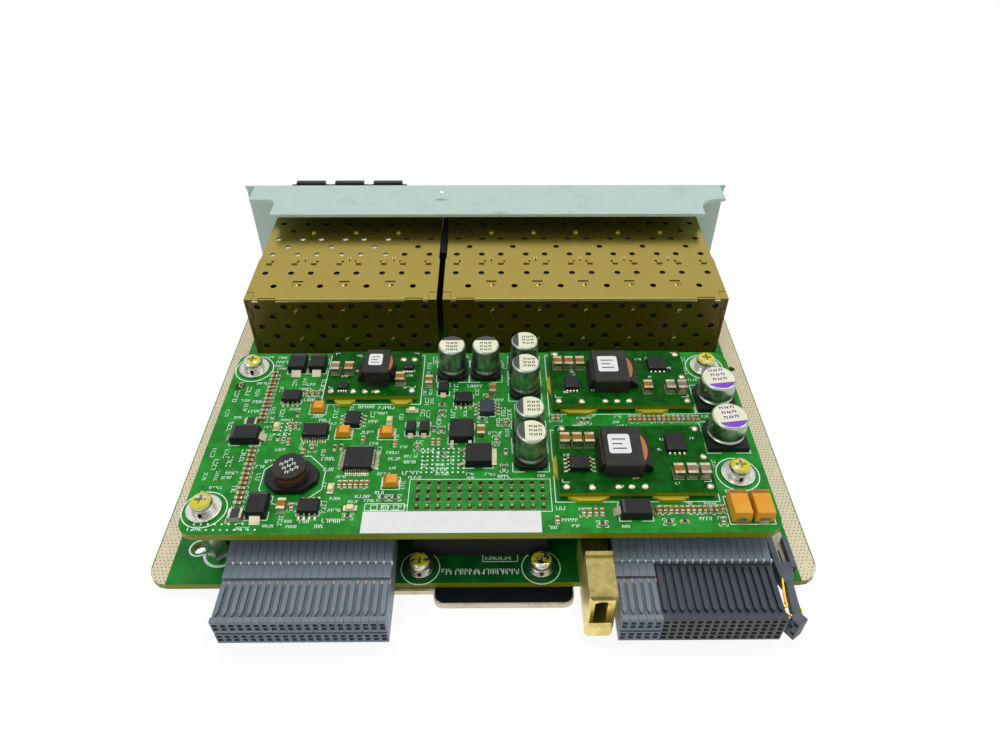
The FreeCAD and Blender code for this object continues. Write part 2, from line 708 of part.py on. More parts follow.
def header_socket():
    """The tall socket strip between the two boards."""
    x0, y0 = HEADER_START
    margin = 1.4
    length = HEADER_PITCH * (HEADER_COLUMNS - 1)
    depth = HEADER_PITCH * (HEADER_ROWS - 1)
    body = block(x0 - margin, x0 + length + margin, y0 - margin, y0 + depth + margin,
                 0, STANDOFF_HEIGHT)
    waist = block(x0 - margin - 1, x0 + length + margin + 1, y0 - margin - 1,
                  y0 - margin + 0.4, 8.3, 8.7)
    return body.cut(waist)


def header_pins():
    """The soldered ends of the header's pins, each in its cone of solder."""
    return group(pyramid(x, y, POWER_TOP, POWER_TOP + 1.5, 0.85, 4) for x, y in header_places())


def board_label():
    return block(-28.4, 13.4, 2.2, 8.35, POWER_TOP, POWER_TOP + 0.12)


ELECTROLYTIC_PLACES = ((-9.05, 57.6), (0.25, 57.6), (11.0, 59.4), (11.0, 50.0), (11.5, 33.4),
                       (11.6, 24.9))
ELECTROLYTIC_RADIUS = 4.0
ELECTROLYTIC_TOP = 10.1
POLYMER_PLACES = ((62.3, 46.0), (62.0, 31.8))
POLYMER_RADIUS = 5.0
POLYMER_TOP = 8.0
CAN_BASE_HEIGHT = 1.4


def can(x, y, radius, top):
    """An aluminium can that stands on its base."""
    return bar(x, y, POWER_TOP + CAN_BASE_HEIGHT, POWER_TOP + top, radius, 10)


def electrolytic_cans():
    return group(can(x, y, ELECTROLYTIC_RADIUS, ELECTROLYTIC_TOP)
                 for x, y in ELECTROLYTIC_PLACES)


def polymer_cans():
    return group(can(x, y, POLYMER_RADIUS, POLYMER_TOP) for x, y in POLYMER_PLACES)


def can_base(x, y, half, turned_round):
    """A square moulded base with two cut corners at its marked end."""
    cut = half * 0.35
    side = -1 if turned_round else 1
    outline = [(x - half, y - half * side), (x - half, y + (half - cut) * side),
               (x - half + cut, y + half * side), (x + half - cut, y + half * side),
               (x + half, y + (half - cut) * side), (x + half, y - half * side)]
    return plan_prism(outline, POWER_TOP, POWER_TOP + CAN_BASE_HEIGHT)


def can_bases():
    small = [can_base(x, y, ELECTROLYTIC_RADIUS + 0.15, True) for x, y in ELECTROLYTIC_PLACES]
    large = [can_base(x, y, POLYMER_RADIUS + 0.15, False) for x, y in POLYMER_PLACES]
    return group(small + large)


# ---- power board: converter modules ------------------------------------------------------


def module_board(outline):
    x0, x1, y0, y1 = outline
    return block(x0, x1, y0, y1, MODULE_BOTTOM, MODULE_TOP)


def module_pin_places():
    """Where the modules' pins stand, measured from each outline's left front corner."""
    large = [(1.7, 2.1), (7.9, 1.9), (14.2, 2.1), (17.3, 2.1), (20.5, 2.1), (36.2, 2.0),
             (36.2, 21.0), (1.8, 21.2), (36.4, 11.4)]
    small = [(1.7, 2.2), (7.7, 2.1), (10.9, 2.1), (14.1, 2.1), (23.6, 2.3), (20.3, 15.0),
             (23.4, 15.0)]
    places = []
    for outline, offsets in ((REAR_MODULE, large), (FRONT_MODULE, large), (LEFT_MODULE, small)):
        places += [(outline[0] + dx, outline[2] + dy) for dx, dy in offsets]
    return places


def converter_pins():
    """The modules' pins above their boards and, as solder feet, below them."""
    pins = []
    for x, y in module_pin_places():
        pins.append(pyramid(x, y, MODULE_TOP, MODULE_TOP + 0.5, 0.85, 4))
        pins.append(bar(x, y, POWER_TOP, MODULE_BOTTOM, 0.5, 3))
    return group(pins)


def converter_core(x0, x1, y0, y1, top, leg):
    """A ferrite core: a flat top on a front and a rear leg, open at both sides."""
    crown = 1.3
    bridge = block(x0, x1, y0, y1, top - crown, top)
    edges = [edge for edge in bridge.Edges if runs_along(edge, y0, top)]
    bridge = bridge.makeChamfer(0.3, edges)
    legs = [block(x0, x1, y0, y0 + leg, MODULE_TOP, top - crown),
            block(x0, x1, y1 - leg, y1, MODULE_TOP, top - crown)]
    return joined(bridge, legs)


LARGE_CORE_TOP = 23.7
SMALL_CORE_TOP = 24.5
LARGE_CORES = ((29.7, 39.0, 46.3, 58.9), (29.2, 38.5, 16.6, 29.4))
SMALL_CORE = (-32.5, -26.1, 49.3, 58.6)


def converter_cores():
    large = [converter_core(*outline, LARGE_CORE_TOP, 1.6) for outline in LARGE_CORES]
    return group(large + [converter_core(*SMALL_CORE, SMALL_CORE_TOP, 1.6)])


def coil_body(x0, x1, y0, y1, top, left, right):
    """The wound former inside a core, with sloping ends that stand out on both sides."""
    crown = 1.3
    leg = 1.6
    z1 = top - crown
    profile = [V(x0 - left, y0 + leg, MODULE_TOP), V(x1 + right, y0 + leg, MODULE_TOP),
               V(x1 + right, y0 + leg, MODULE_TOP + 1.6), V(x1 + 0.6, y0 + leg, z1),
               V(x0 - 0.6, y0 + leg, z1), V(x0 - left, y0 + leg, MODULE_TOP + 1.6)]
    return polygon_prism(profile, V(0, y1 - y0 - 2 * leg, 0))


def converter_coils():
    large = [coil_body(*outline, LARGE_CORE_TOP, 1.3, 2.6) for outline in LARGE_CORES]
    return group(large + [coil_body(*SMALL_CORE, SMALL_CORE_TOP, 2.2, 1.4)])


def converter_chips():
    """Flat power and control chips on the modules."""
    rear_x, rear_y = REAR_MODULE[0], REAR_MODULE[2]
    front_x, front_y = FRONT_MODULE[0], FRONT_MODULE[2]
    left_x, left_y = LEFT_MODULE[0], LEFT_MODULE[2]
    z = MODULE_TOP
    return group([
        centred_block(rear_x + 5.6, rear_y + 8.7, z, 3.7, 5.0, 1.1),
        centred_block(rear_x + 30.1, rear_y + 16.2, z, 5.0, 4.6, 1.0),
        centred_block(front_x + 5.4, front_y + 8.7, z, 5.0, 4.0, 1.5),
        centred_block(front_x + 30.1, front_y + 15.6, z, 5.0, 5.6, 1.0),
        centred_block(left_x + 4.8, left_y + 3.7, z, 2.8, 2.6, 1.0),
        centred_block(left_x + 22.0, left_y + 11.3, z, 2.7, 2.3, 1.0)])


def converter_capacitors():
    """The tall ceramic capacitors along the modules."""
    z = MODULE_TOP
    rear_x, rear_y = REAR_MODULE[0], REAR_MODULE[2]
    front_x, front_y = FRONT_MODULE[0], FRONT_MODULE[2]
    left_x, left_y = LEFT_MODULE[0], LEFT_MODULE[2]
    places = [(rear_x + 2.2 + 3.1 * k, rear_y + 16.3) for k in range(3)]
    places += [(rear_x + dx, rear_y + 6.4) for dx in (26.1, 32.2, 35.4)]
    places += [(front_x + 2.2 + 3.1 * k, front_y + 16.3) for k in range(3)]
    places += [(front_x + 29.1 + 3.2 * k, front_y + 5.9) for k in range(3)]
    places += [(left_x + dx, left_y + 10.3) for dx in (1.9, 5.7)]
    places.append((left_x + 20.2, left_y + 5.9))
    return group(centred_block(x, y, z, 2.4, 3.2, 2.2) for x, y in places)


def converter_pads():
    """Yellow insulating pads squeezed between the modules and the power board."""
    pads = []
    for x0, x1, y0, y1 in (REAR_MODULE, FRONT_MODULE):
        pads.append(lens_pad(x0 + 7.0, y0, 10.0, 2.6))
        pads.append(lens_pad(x1 - 11.0, y0, 9.0, 2.4))
        middle = (y0 + y1) / 2 - 1.5
        pads.append(quarter_turned(lens_pad(x0 + 0.2, middle, 8.0, 2.4), x0 + 0.2, middle))
    x0, x1, y0, _ = LEFT_MODULE
    pads.append(lens_pad(x0 + 5.6, y0 - 0.2, 5.8, 3.0))
    pads.append(lens_pad(x1 - 4.4, y0 - 0.2, 6.0, 3.0))
    return group(pads)


def lens_pad(x, y, length, width):
    """A thin pad with two bowed sides."""
    a, b = length / 2, width / 2
    outline = [(x - a, y), (x - a / 2, y - b), (x + a / 2, y - b),
               (x + a, y), (x + a / 2, y + b), (x - a / 2, y + b)]
    return plan_prism(outline, POWER_TOP, MODULE_BOTTOM)


# ---- power board: other components -------------------------------------------------------

CHOKE_PLACE = (-46.8, 18.3)


def choke_base():
    """The long octagonal foot of the drum choke."""
    x, y = CHOKE_PLACE
    a, b = 6.4, 4.7
    outline = [(x - a, y - 1.6), (x - 3.2, y - b), (x + 3.2, y - b), (x + a, y - 1.6),
               (x + a, y + 1.6), (x + 3.2, y + b), (x - 3.2, y + b), (x - a, y + 1.6)]
    return plan_prism(outline, POWER_TOP, POWER_TOP + 1.7)


def choke_core():
    """The spool-shaped core, one piece."""
    x, y = CHOKE_PLACE
    z = POWER_TOP + 1.7
    foot = bar(x, y, z, z + 0.6, 4.4, 10)
    waist = bar(x, y, z + 0.6, z + 2.4, 2.4, 8)
    crown = bar(x, y, z + 2.4, z + 3.4, 4.15, 10)
    return joined(foot, [waist, crown])


def choke_coil():
    """The wire wound round the core's waist."""
    x, y = CHOKE_PLACE
    z = POWER_TOP + 1.7
    return ring(x, y, z + 0.6, z + 2.4, 3.7, 2.4, 10, 8)


def tantalum_capacitors():
    small = ((-44.6, 42.6), (-36.5, 33.5), (-25.4, 33.3), (-22.7, 16.9))
    large = ((59.9, 8.3), (65.2, 8.3))
    return group([moulded_block(x, y, 3.5, 2.8, 1.9) for x, y in small]
                 + [moulded_block(x, y, 4.3, 7.2, 3.3) for x, y in large])


def moulded_block(x, y, width, depth, height, stand=0.1):
    """A moulded package that stands just clear of the board."""
    return centred_block(x, y, POWER_TOP + stand, width, depth, height)


CONTROL_CHIP_PLACE = (-31.4, 24.3)
CONTROL_CHIP_SIZE = 7.0


def control_chip():
    x, y = CONTROL_CHIP_PLACE
    return moulded_block(x, y, CONTROL_CHIP_SIZE, CONTROL_CHIP_SIZE, 1.5)


# plan centre, body width and depth
LOGIC_CHIPS = ((-52.4, 46.9, 4.9, 3.9), (-41.3, 9.4, 4.9, 3.9), (-34.7, 38.1, 3.9, 4.9),
               (-5.8, 45.8, 4.9, 3.9), (0.6, 42.3, 3.9, 4.9), (-43.8, 33.9, 6.5, 4.4))
# plan centre, body width and depth, tab side given as a plan direction
POWER_TRANSISTORS = ((-6.0, 33.4, 6.2, 6.6, (0, 1)), (-1.4, 25.0, 6.6, 6.2, (1, 0)))
# plan centre, body width and depth, leads at front and rear or at the sides
RECTIFIER_DIODES = ((-53.1, 60.0, 4.8, 5.8, True), (-47.4, 60.0, 4.5, 5.6, True),
                    (-61.4, 32.2, 7.2, 4.6, False), (-53.1, 9.6, 4.6, 6.4, True),
                    (35.6, 7.8, 7.2, 4.4, False), (-11.4, 50.2, 2.7, 4.2, True),
                    (-19.2, 35.1, 2.4, 4.3, True), (-15.7, 35.1, 2.4, 4.3, True))


def logic_chips():
    return group(moulded_block(x, y, width, depth, 1.5)
                 for x, y, width, depth in LOGIC_CHIPS)


def power_transistors():
    return group(moulded_block(x, y, width, depth, 2.3)
                 for x, y, width, depth, _ in POWER_TRANSISTORS)


def rectifier_diodes():
    return group(moulded_block(x, y, width, depth, 2.4 if width * depth > 15 else 1.6)
                 for x, y, width, depth, _ in RECTIFIER_DIODES)


def sloping_lead(x, y, out, width, reach, height):
    """A lead that leaves a package at (x, y) and slopes down to the board.

    out is the plan direction away from the package, as (1, 0), (0, -1) and so on.
    """
    z = POWER_TOP
    ox, oy = out
    points = [V(x + ox * d - oy * width / 2, y + oy * d + ox * width / 2, h)
              for d, h in ((0, z), (reach, z), (0, z + height))]
    return polygon_prism(points, V(oy * width, -ox * width, 0))


def row_of_leads(x, y, out, span, count, width, reach, height):
    """Evenly spaced leads along one side of a package."""
    step = span / (count - 1) if count > 1 else 0
    ox, oy = out
    leads = []
    for k in range(count):
        shift = (k - (count - 1) / 2) * step
        leads.append(sloping_lead(x + abs(oy) * shift, y + abs(ox) * shift, out,
                                  width, reach, height))
    return leads


def component_leads():
    """The wide leads and tabs of the transistors and diodes."""
    leads = []
    for x, y, width, depth, (tx, ty) in POWER_TRANSISTORS:
        half_x, half_y = width / 2 * abs(tx), depth / 2 * abs(ty)
        leads += row_of_leads(x - tx * half_x, y - ty * half_y, (-tx, -ty), 4.6, 2, 0.8, 1.9, 1.1)
        tab = centred_block(x + tx * (half_x + 0.6), y + ty * (half_y + 0.6), POWER_TOP,
                            1.2 if tx else 5.4, 1.2 if ty else 5.4, 0.5)
        leads.append(tab)
    for x, y, width, depth, front_and_rear in RECTIFIER_DIODES:
        across = (width if front_and_rear else depth) * 0.55
        reach = 1.6 if width * depth > 15 else 1.0
        height = 1.2 if width * depth > 15 else 0.8
        for side in (-1, 1):
            if front_and_rear:
                place, out = (x, y + side * depth / 2), (0, side)
            else:
                place, out = (x + side * width / 2, y), (side, 0)
            leads.append(sloping_lead(*place, out, across, reach, height))
    return group(leads)


# ceramic capacitors in rows: first place, step, count, long side across the card or along it
CAPACITOR_ROWS = (((-58.9, 56.8), (0.02, -1.5), 13, True), ((-58.6, 28.7), (0.03, -1.5), 13, True),
                  ((41.3, 8.4), (1.34, 0), 11, False), ((38.3, 38.3), (1.29, 0), 15, False),
                  ((-35.1, 16.6), (1.33, 0), 6, False), ((-48.7, 48.6), (1.6, 0), 3, False),
                  ((23.4, 7.8), (1.45, 0), 4, False))
SINGLE_CAPACITORS = ((-50.8, 36.4), (-49.3, 36.4), (-50.2, 30.7), (-45.8, 26.9), (-17.0, 28.8),
                     (-13.2, 30.4), (-11.8, 30.4), (3.0, 31.3), (0.6, 46.9), (5.5, 37.4),
                     (17.1, 5.6), (18.1, 38.9), (19.4, 38.9), (56.2, 8.6), (55.6, 5.1),
                     (-45.3, 9.8), (-31.2, 31.3), (-43.7, 28.5), (-22.9, 29.8))
TALL_CAPACITORS = ((-15.5, 52.8), (2.1, 49.4), (-0.9, 33.6), (-47.6, 9.8))
RESISTORS = ((-49.7, 40.7, False), (-53.2, 32.2, False), (-11.5, 44.0, True), (27.5, 4.5, True),
             (43.0, 5.0, True), (46.7, 5.0, True), (-31.8, 7.0, True), (-10.7, 26.2, True),
             (-24.2, 12.5, True), (-21.2, 12.5, True), (-38.1, 28.6, False), (-36.4, 28.8, False),
             (-11.3, 34.9, False), (-13.2, 35.1, False), (25.4, 37.9, False), (27.1, 37.9, False),
             (-11.3, 40.9, False), (5.4, 27.1, False), (4.9, 21.6, False), (-0.6, 38.4, True))


def chip_capacitors():
    chips = []
    for (x, y), (dx, dy), count, across in CAPACITOR_ROWS:
        size = (1.6, 0.85) if across else (0.85, 1.6)
        chips += [centred_block(x + dx * k, y + dy * k, POWER_TOP, *size, 0.8)
                  for k in range(count)]
    chips += [centred_block(x, y, POWER_TOP, 0.9, 1.6, 0.8) for x, y in SINGLE_CAPACITORS]
    chips += [centred_block(x, y, POWER_TOP, 2.0, 3.2, 1.7) for x, y in TALL_CAPACITORS]
    return group(chips)


def chip_resistors():
    small = [centred_block(x, y, POWER_TOP, *((1.6, 0.8) if across else (0.8, 1.6)), 0.45)
             for x, y, across in RESISTORS]
    shunts = [centred_block(-61.2, 37.4, POWER_TOP, 3.2, 2.5, 1.2),
              centred_block(-57.9, 7.3, POWER_TOP, 3.2, 2.9, 1.2)]
    return group(small + shunts)


def indicator_lamps():
    """Small lamps, long side along the card or across it."""
    lamps = []
    for x, y, along in ((-54.3, 36.0, True), (-37.0, 15.2, True), (-31.5, 9.2, False),
                        (-25.1, 38.0, True), (-19.4, 41.7, False)):
        size = (1.6, 3.0) if along else (3.0, 1.6)
        lamps.append(centred_block(x, y, POWER_TOP, *size, 1.1))
    return group(lamps)


# ---- the whole card ----------------------------------------------------------------------


def all_pieces():
    pieces = {
        "main_board": main_board(),
        "power_board": power_board(),
        "front_panel": front_panel(),
        "stiffener_plate": stiffener_plate(),
        "insulating_film": insulating_film(),
        "standoffs": standoffs(),
        "board_screws": board_screws(),
        "spring_washers": spring_washers(),
        "flat_washers": flat_washers(),
        "port_plugs": port_plugs(),
        "left_connector_faces": left_connector_faces(),
        "left_connector_wafers": left_connector_wafers(),
        "right_connector_faces": right_connector_faces(),
        "right_connector_housing": right_connector_housing(),
        "right_connector_wafers": right_connector_wafers(),
        "broken_wafer_frame": broken_wafer_frame(),
        "broken_wafer_arm": broken_wafer_arm(),
        "bent_contacts": bent_contacts(),
        "guide_block": guide_block(),
        "header_socket": header_socket(),
        "header_pins": header_pins(),
        "board_label": board_label(),
        "electrolytic_cans": electrolytic_cans(),
        "polymer_cans": polymer_cans(),
        "can_bases": can_bases(),
        "rear_converter_board": module_board(REAR_MODULE),
        "front_converter_board": module_board(FRONT_MODULE),
        "left_converter_board": module_board(LEFT_MODULE),
        "converter_cores": converter_cores(),
        "converter_coils": converter_coils(),
        "converter_chips": converter_chips(),
        "converter_capacitors": converter_capacitors(),
        "converter_pins": converter_pins(),
        "converter_pads": converter_pads(),
        "choke_core": choke_core(),
        "choke_base": choke_base(),
        "choke_coil": choke_coil(),
        "tantalum_capacitors": tantalum_capacitors(),
        "control_chip": control_chip(),
        "logic_chips": logic_chips(),
        "power_transistors": power_transistors(),
        "rectifier_diodes": rectifier_diodes(),
        "component_leads": component_leads(),
        "chip_capacitors": chip_capacitors(),
        "chip_resistors": chip_resistors(),
        "indicator_lamps": indicator_lamps(),
    }
    cages = (("left", LEFT_CAGE_CENTRE, LEFT_PORTS), ("right", RIGHT_CAGE_CENTRE, RIGHT_PORTS))
    makers = (("cage_body", cage_body), ("cage_cover", cage_cover), ("cage_rear", cage_rear),
              ("cage_dividers", cage_dividers), ("cage_spacers", cage_spacers),
              ("port_connectors", port_connectors))
    for side, centre, ports in cages:
        for name, maker in makers:
            pieces[side + "_" + name] = maker(centre, ports)
    return pieces


def bottom_centre(pieces):
    """The middle of the whole card's box, at its lowest level."""
    box = Part.makeCompound(list(pieces.values())).BoundBox
    return V(box.Center.x, box.Center.y, box.ZMin)


def write_pieces():
    os.makedirs("parts", exist_ok=True)
    pieces = all_pieces()
    origin = bottom_centre(pieces)
    for name, shape in pieces.items():
        shape.translate(origin.negative())
        shape.exportStep("parts/" + name + ".step")
    print(len(pieces), "pieces, origin at", origin)


write_pieces()
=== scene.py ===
import math
import random

import bmesh
import bpy
from mathutils import Matrix, Vector


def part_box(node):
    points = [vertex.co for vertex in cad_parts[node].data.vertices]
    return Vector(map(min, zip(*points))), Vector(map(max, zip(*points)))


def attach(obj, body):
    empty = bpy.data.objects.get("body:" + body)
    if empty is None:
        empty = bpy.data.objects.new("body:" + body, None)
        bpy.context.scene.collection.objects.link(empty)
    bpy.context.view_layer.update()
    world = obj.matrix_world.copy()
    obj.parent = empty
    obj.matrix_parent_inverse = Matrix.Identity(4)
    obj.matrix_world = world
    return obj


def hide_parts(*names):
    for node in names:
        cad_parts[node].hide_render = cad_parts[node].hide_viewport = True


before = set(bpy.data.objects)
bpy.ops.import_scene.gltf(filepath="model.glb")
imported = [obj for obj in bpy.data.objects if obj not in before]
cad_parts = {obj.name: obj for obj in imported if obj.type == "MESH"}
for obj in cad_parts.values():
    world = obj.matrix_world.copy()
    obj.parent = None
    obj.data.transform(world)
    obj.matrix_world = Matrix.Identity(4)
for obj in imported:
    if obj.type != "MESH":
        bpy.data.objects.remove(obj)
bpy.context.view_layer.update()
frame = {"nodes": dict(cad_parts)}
nodes = frame["nodes"]

# Lengths in this file are written in millimetres and turned into metres by MM.
MM = 0.001
SEED = 7
# Y of the main board's connector edge.
EDGE = -70.4

# ---- finishes ----------------------------------------------------------------------------


class Wire:
    """A node's output, with arithmetic on it."""

    def __init__(self, nodes, socket):
        self.nodes = nodes
        self.socket = socket

    def combine(self, operation, first, second=0.0):
        return self.nodes.node("ShaderNodeMath", {"operation": operation}, first, second)

    def __add__(self, other):
        return self.combine("ADD", self, other)

    def __sub__(self, other):
        return self.combine("SUBTRACT", self, other)

    def __rsub__(self, other):
        return self.combine("SUBTRACT", other, self)

    def __mul__(self, other):
        return self.combine("MULTIPLY", self, other)

    def __truediv__(self, other):
        return self.combine("DIVIDE", self, other)

    def __gt__(self, other):
        return self.combine("GREATER_THAN", self, other)

    def __lt__(self, other):
        return self.combine("LESS_THAN", self, other)

    def __abs__(self):
        return self.combine("ABSOLUTE", self)

    __radd__ = __add__
    __rmul__ = __mul__

    def fraction(self):
        return self.combine("FRACT", self)


class Nodes:
    """A tree of shader nodes that is built by method calls."""

    def __init__(self, tree):
        self.tree = tree
        tree.nodes.clear()

    def plug(self, socket, value):
        """Links a wire to a socket, or sets a plain value on it."""
        if isinstance(value, Wire):
            self.tree.links.new(value.socket, socket)
        elif socket.type == "RGBA" and len(value) == 3:
            socket.default_value = (*value, 1)
        else:
            socket.default_value = value

    def node(self, kind, settings, *values, output=0, **named):
        """Adds any node, from its type, settings and the values or wires of its sockets."""
        made = self.tree.nodes.new(kind)
        for key, value in settings.items():
            setattr(made, key, value)
        for socket, value in zip(made.inputs, values):
            self.plug(socket, value)
        for key, value in named.items():
            self.plug(made.inputs[key], value)
        return Wire(self, made.outputs[output]) if made.outputs else None

    def seen(self):
        """1 for rays that show the background: those of the camera, gloss and glass."""
        camera, gloss, glass = (self.node("ShaderNodeLightPath", {}, output=ray) for ray in
                                ("Is Camera Ray", "Is Glossy Ray", "Is Transmission Ray"))
        return camera.combine("MAXIMUM", camera.combine("MAXIMUM", camera, gloss), glass)


class Finish(Nodes):
    """A surface finish: one Principled shader and the nodes that vary it."""

    def __init__(self, name, color, roughness=0.5, metallic=0.0):
        self.material = bpy.data.materials.new(name)
        self.material.use_nodes = True
        super().__init__(self.material.node_tree)
        self.shader = self.tree.nodes.new("ShaderNodeBsdfPrincipled")
        self.output = self.tree.nodes.new("ShaderNodeOutputMaterial")
        self.show(Wire(self, self.shader.outputs[0]))
        self.feed("Base Color", color)
        self.feed("Roughness", roughness)
        self.feed("Metallic", metallic)
        self.material.diffuse_color = (*color, 1)

    def show(self, surface):
        """Makes a shader the one that the surface shows."""
        self.plug(self.output.inputs[0], surface)

    def feed(self, socket, value):
        self.plug(self.shader.inputs[socket], value)

    def fed(self, socket):
        """The wire that feeds one of the shader's sockets."""
        return Wire(self, self.shader.inputs[socket].links[0].from_socket)

    def place(self):
        """Where a point is, in millimetres in the card's own frame."""
        here = self.node("ShaderNodeTexCoord", {}, output="Object")
        return self.node("ShaderNodeVectorMath", {"operation": "SCALE"}, here, Scale=1 / MM)

    def axes(self, vector=None):
        """The three numbers of a vector."""
        split = self.node("ShaderNodeSeparateXYZ", {}, vector or self.place())
        return [Wire(self, socket) for socket in split.socket.node.outputs]

    def stretched(self, x, y, z):
        """Places scaled along each axis, so that a noise turns into streaks."""
        return self.node("ShaderNodeVectorMath", {"operation": "MULTIPLY"}, self.place(), (x, y, z))

    def noise(self, size, detail=3.0, vector=None):
        """Smooth noise from 0 to 1, with blobs of about the given size."""
        return self.node("ShaderNodeTexNoise", {}, Vector=vector or self.place(),
                         Scale=1 / size, Detail=detail, Roughness=0.6)

    def cells(self, size, output="Distance", metric="EUCLIDEAN"):
        """Distances to scattered points, or a random colour for each point's cell."""
        return self.node("ShaderNodeTexVoronoi", {"distance": metric}, output=output,
                         Vector=self.place(), Scale=1 / size)

    def blend(self, amount, low, high):
        """A colour between two colours."""
        made = self.tree.nodes.new("ShaderNodeMix")
        made.data_type = "RGBA"
        for index, value in ((0, amount), (6, low), (7, high)):
            self.plug(made.inputs[index], value)
        return Wire(self, made.outputs[2])

    def limited(self, value, low, high):
        """Spreads the stretch of value between low and high over 0 to 1."""
        return self.node("ShaderNodeMapRange", {}, value, low, high, 0.0, 1.0)

    def patches(self, size, low, high, detail=4.0):
        """Soft patches from 0 to 1."""
        return self.limited(self.noise(size, detail), low, high)

    def bumpy(self, height, strength, depth):
        """Raises the surface by height, at most depth millimetres."""
        self.feed("Normal", self.node("ShaderNodeBump", {}, Strength=strength,
                                      Distance=depth * MM, Height=height))

    def facing(self):
        """The three numbers of the way that a face looks."""
        return self.axes(self.node("ShaderNodeNewGeometry", {}, output="Normal"))

    def facing_up(self):
        """1 on level faces and 0 on upright ones."""
        return abs(self.facing()[2]) > 0.5

    def near(self, x, y):
        """The square of the distance in plan to a place."""
        here = self.axes()
        across, along = here[0] - x, here[1] - y
        return across * across + along * along


LAMINATE = (0.2, 0.23, 0.003)


def resist(name, deep, light, size, gloss=0.2):
    """Green solder resist over copper runs, with the bare laminate on the cut edges."""
    f = Finish(name, deep, roughness=0.38)
    f.feed("Specular IOR Level", gloss)
    ground = f.patches(size * 5, 0.42, 0.58, 2)
    steps = f.cells(size * 2.4, metric="MANHATTAN")
    runs = abs((steps * 7.0).fraction() - 0.5) < 0.16
    drill = f.cells(size * 0.9) < 0.11
    chosen = f.axes(f.cells(size * 0.9, output="Color"))[0] > 0.6
    green = f.blend(ground * 0.55, deep, light)
    green = f.blend(runs * f.patches(size * 4, 0.5, 0.6, 1) * 0.5, green, light)
    green = f.blend(drill * chosen * 0.7, green, tuple(min(1, 2.2 * c) for c in light))
    f.feed("Base Color", f.blend(f.facing_up(), LAMINATE, green))
    f.bumpy(runs, 0.25, 0.03)
    return f


# The bare strip along each side of the main board, and the pitch of its vias.
STRIP_INNER, STRIP_OUTER, STRIP_PITCH = 77.2, 81.7, 1.0
# Painted shade: the power board shades the main board between the two connectors, so the ground
# there is darker.
SHADE_LEFT, SHADE_RIGHT, SHADE_REACH = -31.5, 23.0, -56.4


def card_resist():
    """The main board's resist, with a bare plated strip full of small vias along each side."""
    f = resist("card_resist", (0.001, 0.15, 0.008), (0.008, 0.3, 0.03), 1.0)
    x, y, _ = f.axes()
    side = abs(x)
    row = (y / STRIP_PITCH * 0.5).fraction() > 0.5
    across = (side / STRIP_PITCH + row * 0.5).fraction() - 0.5
    along = (y / STRIP_PITCH).fraction() - 0.5
    dot = (across * across + along * along) < 0.03
    patchy = f.noise(3.2, 1) > 0.38
    plated = f.blend(f.noise(0.35, 2), (0.53, 0.465, 0.31), (0.73, 0.66, 0.47))
    plated = f.blend(dot * patchy * 0.9, plated, (0.12, 0.09, 0.04))
    strip = (side > STRIP_INNER) * (side < STRIP_OUTER)
    level = f.facing_up()
    # Painted shade: the power board's shadow darkens the level ground between the two connectors.
    dark = (x > SHADE_LEFT) * (x < SHADE_RIGHT) * (y < SHADE_REACH)
    ground = f.blend(dark * level * 0.6, f.fed("Base Color"), (0.001, 0.03, 0.008))
    f.feed("Base Color", f.blend(strip * level, ground, plated))
    f.feed("Metallic", strip * level * 0.35)
    return f


def sheet_metal(name, color, stain, roughness, rear=None):
    """Rolled sheet: faint streaks of the roll, and stains; faces toward the rear may get painted
    shade and reflection.
    """
    f = Finish(name, color, metallic=1.0)
    streaks = f.noise(1.6, 3, f.stretched(0.15, 1, 0.15))
    base = f.blend(f.patches(14, 0.45, 0.75, 3) * 0.5, color, stain)
    if rear:
        # Painted shade and painted reflection: faces toward the rear take darker, warm tones and
        # less metal.
        rear_shade = f.facing()[1] < -0.6
        base = f.blend(rear_shade, base, f.blend(f.patches(11, 0.48, 0.66, 3), *rear))
        f.feed("Metallic", 1 - rear_shade * 0.75)
    f.feed("Base Color", base)
    f.feed("Roughness", roughness + streaks * 0.14)
    f.bumpy(streaks, 0.06, 0.03)
    return f


# Place, width and darkness of each smudge on the flange, and the place of its small dimple, which
# is only painted shade and highlight.
FLANGE_SMUDGES = ((-15.4, 60.9, 2.6, 0.75), (4.7, 52.1, 3.2, 0.4), (-40.0, 57.5, 2.2, 0.2))
FLANGE_DIMPLE = (-15.4, 66.3)


def galvanised():
    """Zinc-coated sheet with its spangle, a few smudges, and painted shade and highlight for one
    dimple.
    """
    f = Finish("galvanised_sheet", (0.5, 0.56, 0.6), metallic=0.3)
    spangle = f.axes(f.cells(2.2, output="Color"))[0]
    pale = f.blend(spangle * 0.35, (0.41, 0.55, 0.5), (0.48, 0.62, 0.57))
    pale = f.blend(f.patches(0.7, 0.5, 0.8) * 0.45, pale, (0.62, 0.74, 0.7))
    pale = f.blend(f.patches(9, 0.55, 0.72) * 0.3, pale, (0.26, 0.34, 0.3))
    x, y, _ = f.axes()
    for smudge_x, smudge_y, wide, dark in FLANGE_SMUDGES:
        dx, dy = (x - smudge_x) / wide, (y - smudge_y) / (wide * 0.45)
        far = dx * dx + dy * dy + f.noise(1.1, 3) * 1.1
        pale = f.blend(f.limited(far, 1.5, 0.6) * dark, pale, (0.22, 0.2, 0.17))
    # The dimple has no shape: a dark ring of painted shade and a white spot of painted highlight.
    from_dimple = f.near(*FLANGE_DIMPLE)
    pale = f.blend((from_dimple < 1.3) * 0.5, pale, (0.3, 0.36, 0.34))
    pale = f.blend(from_dimple < 0.6, pale, (0.95, 0.97, 0.95))
    f.feed("Base Color", pale)
    f.feed("Roughness", 0.42 + spangle * 0.12)
    f.bumpy(f.noise(0.8, 3), 0.1, 0.05)
    return f


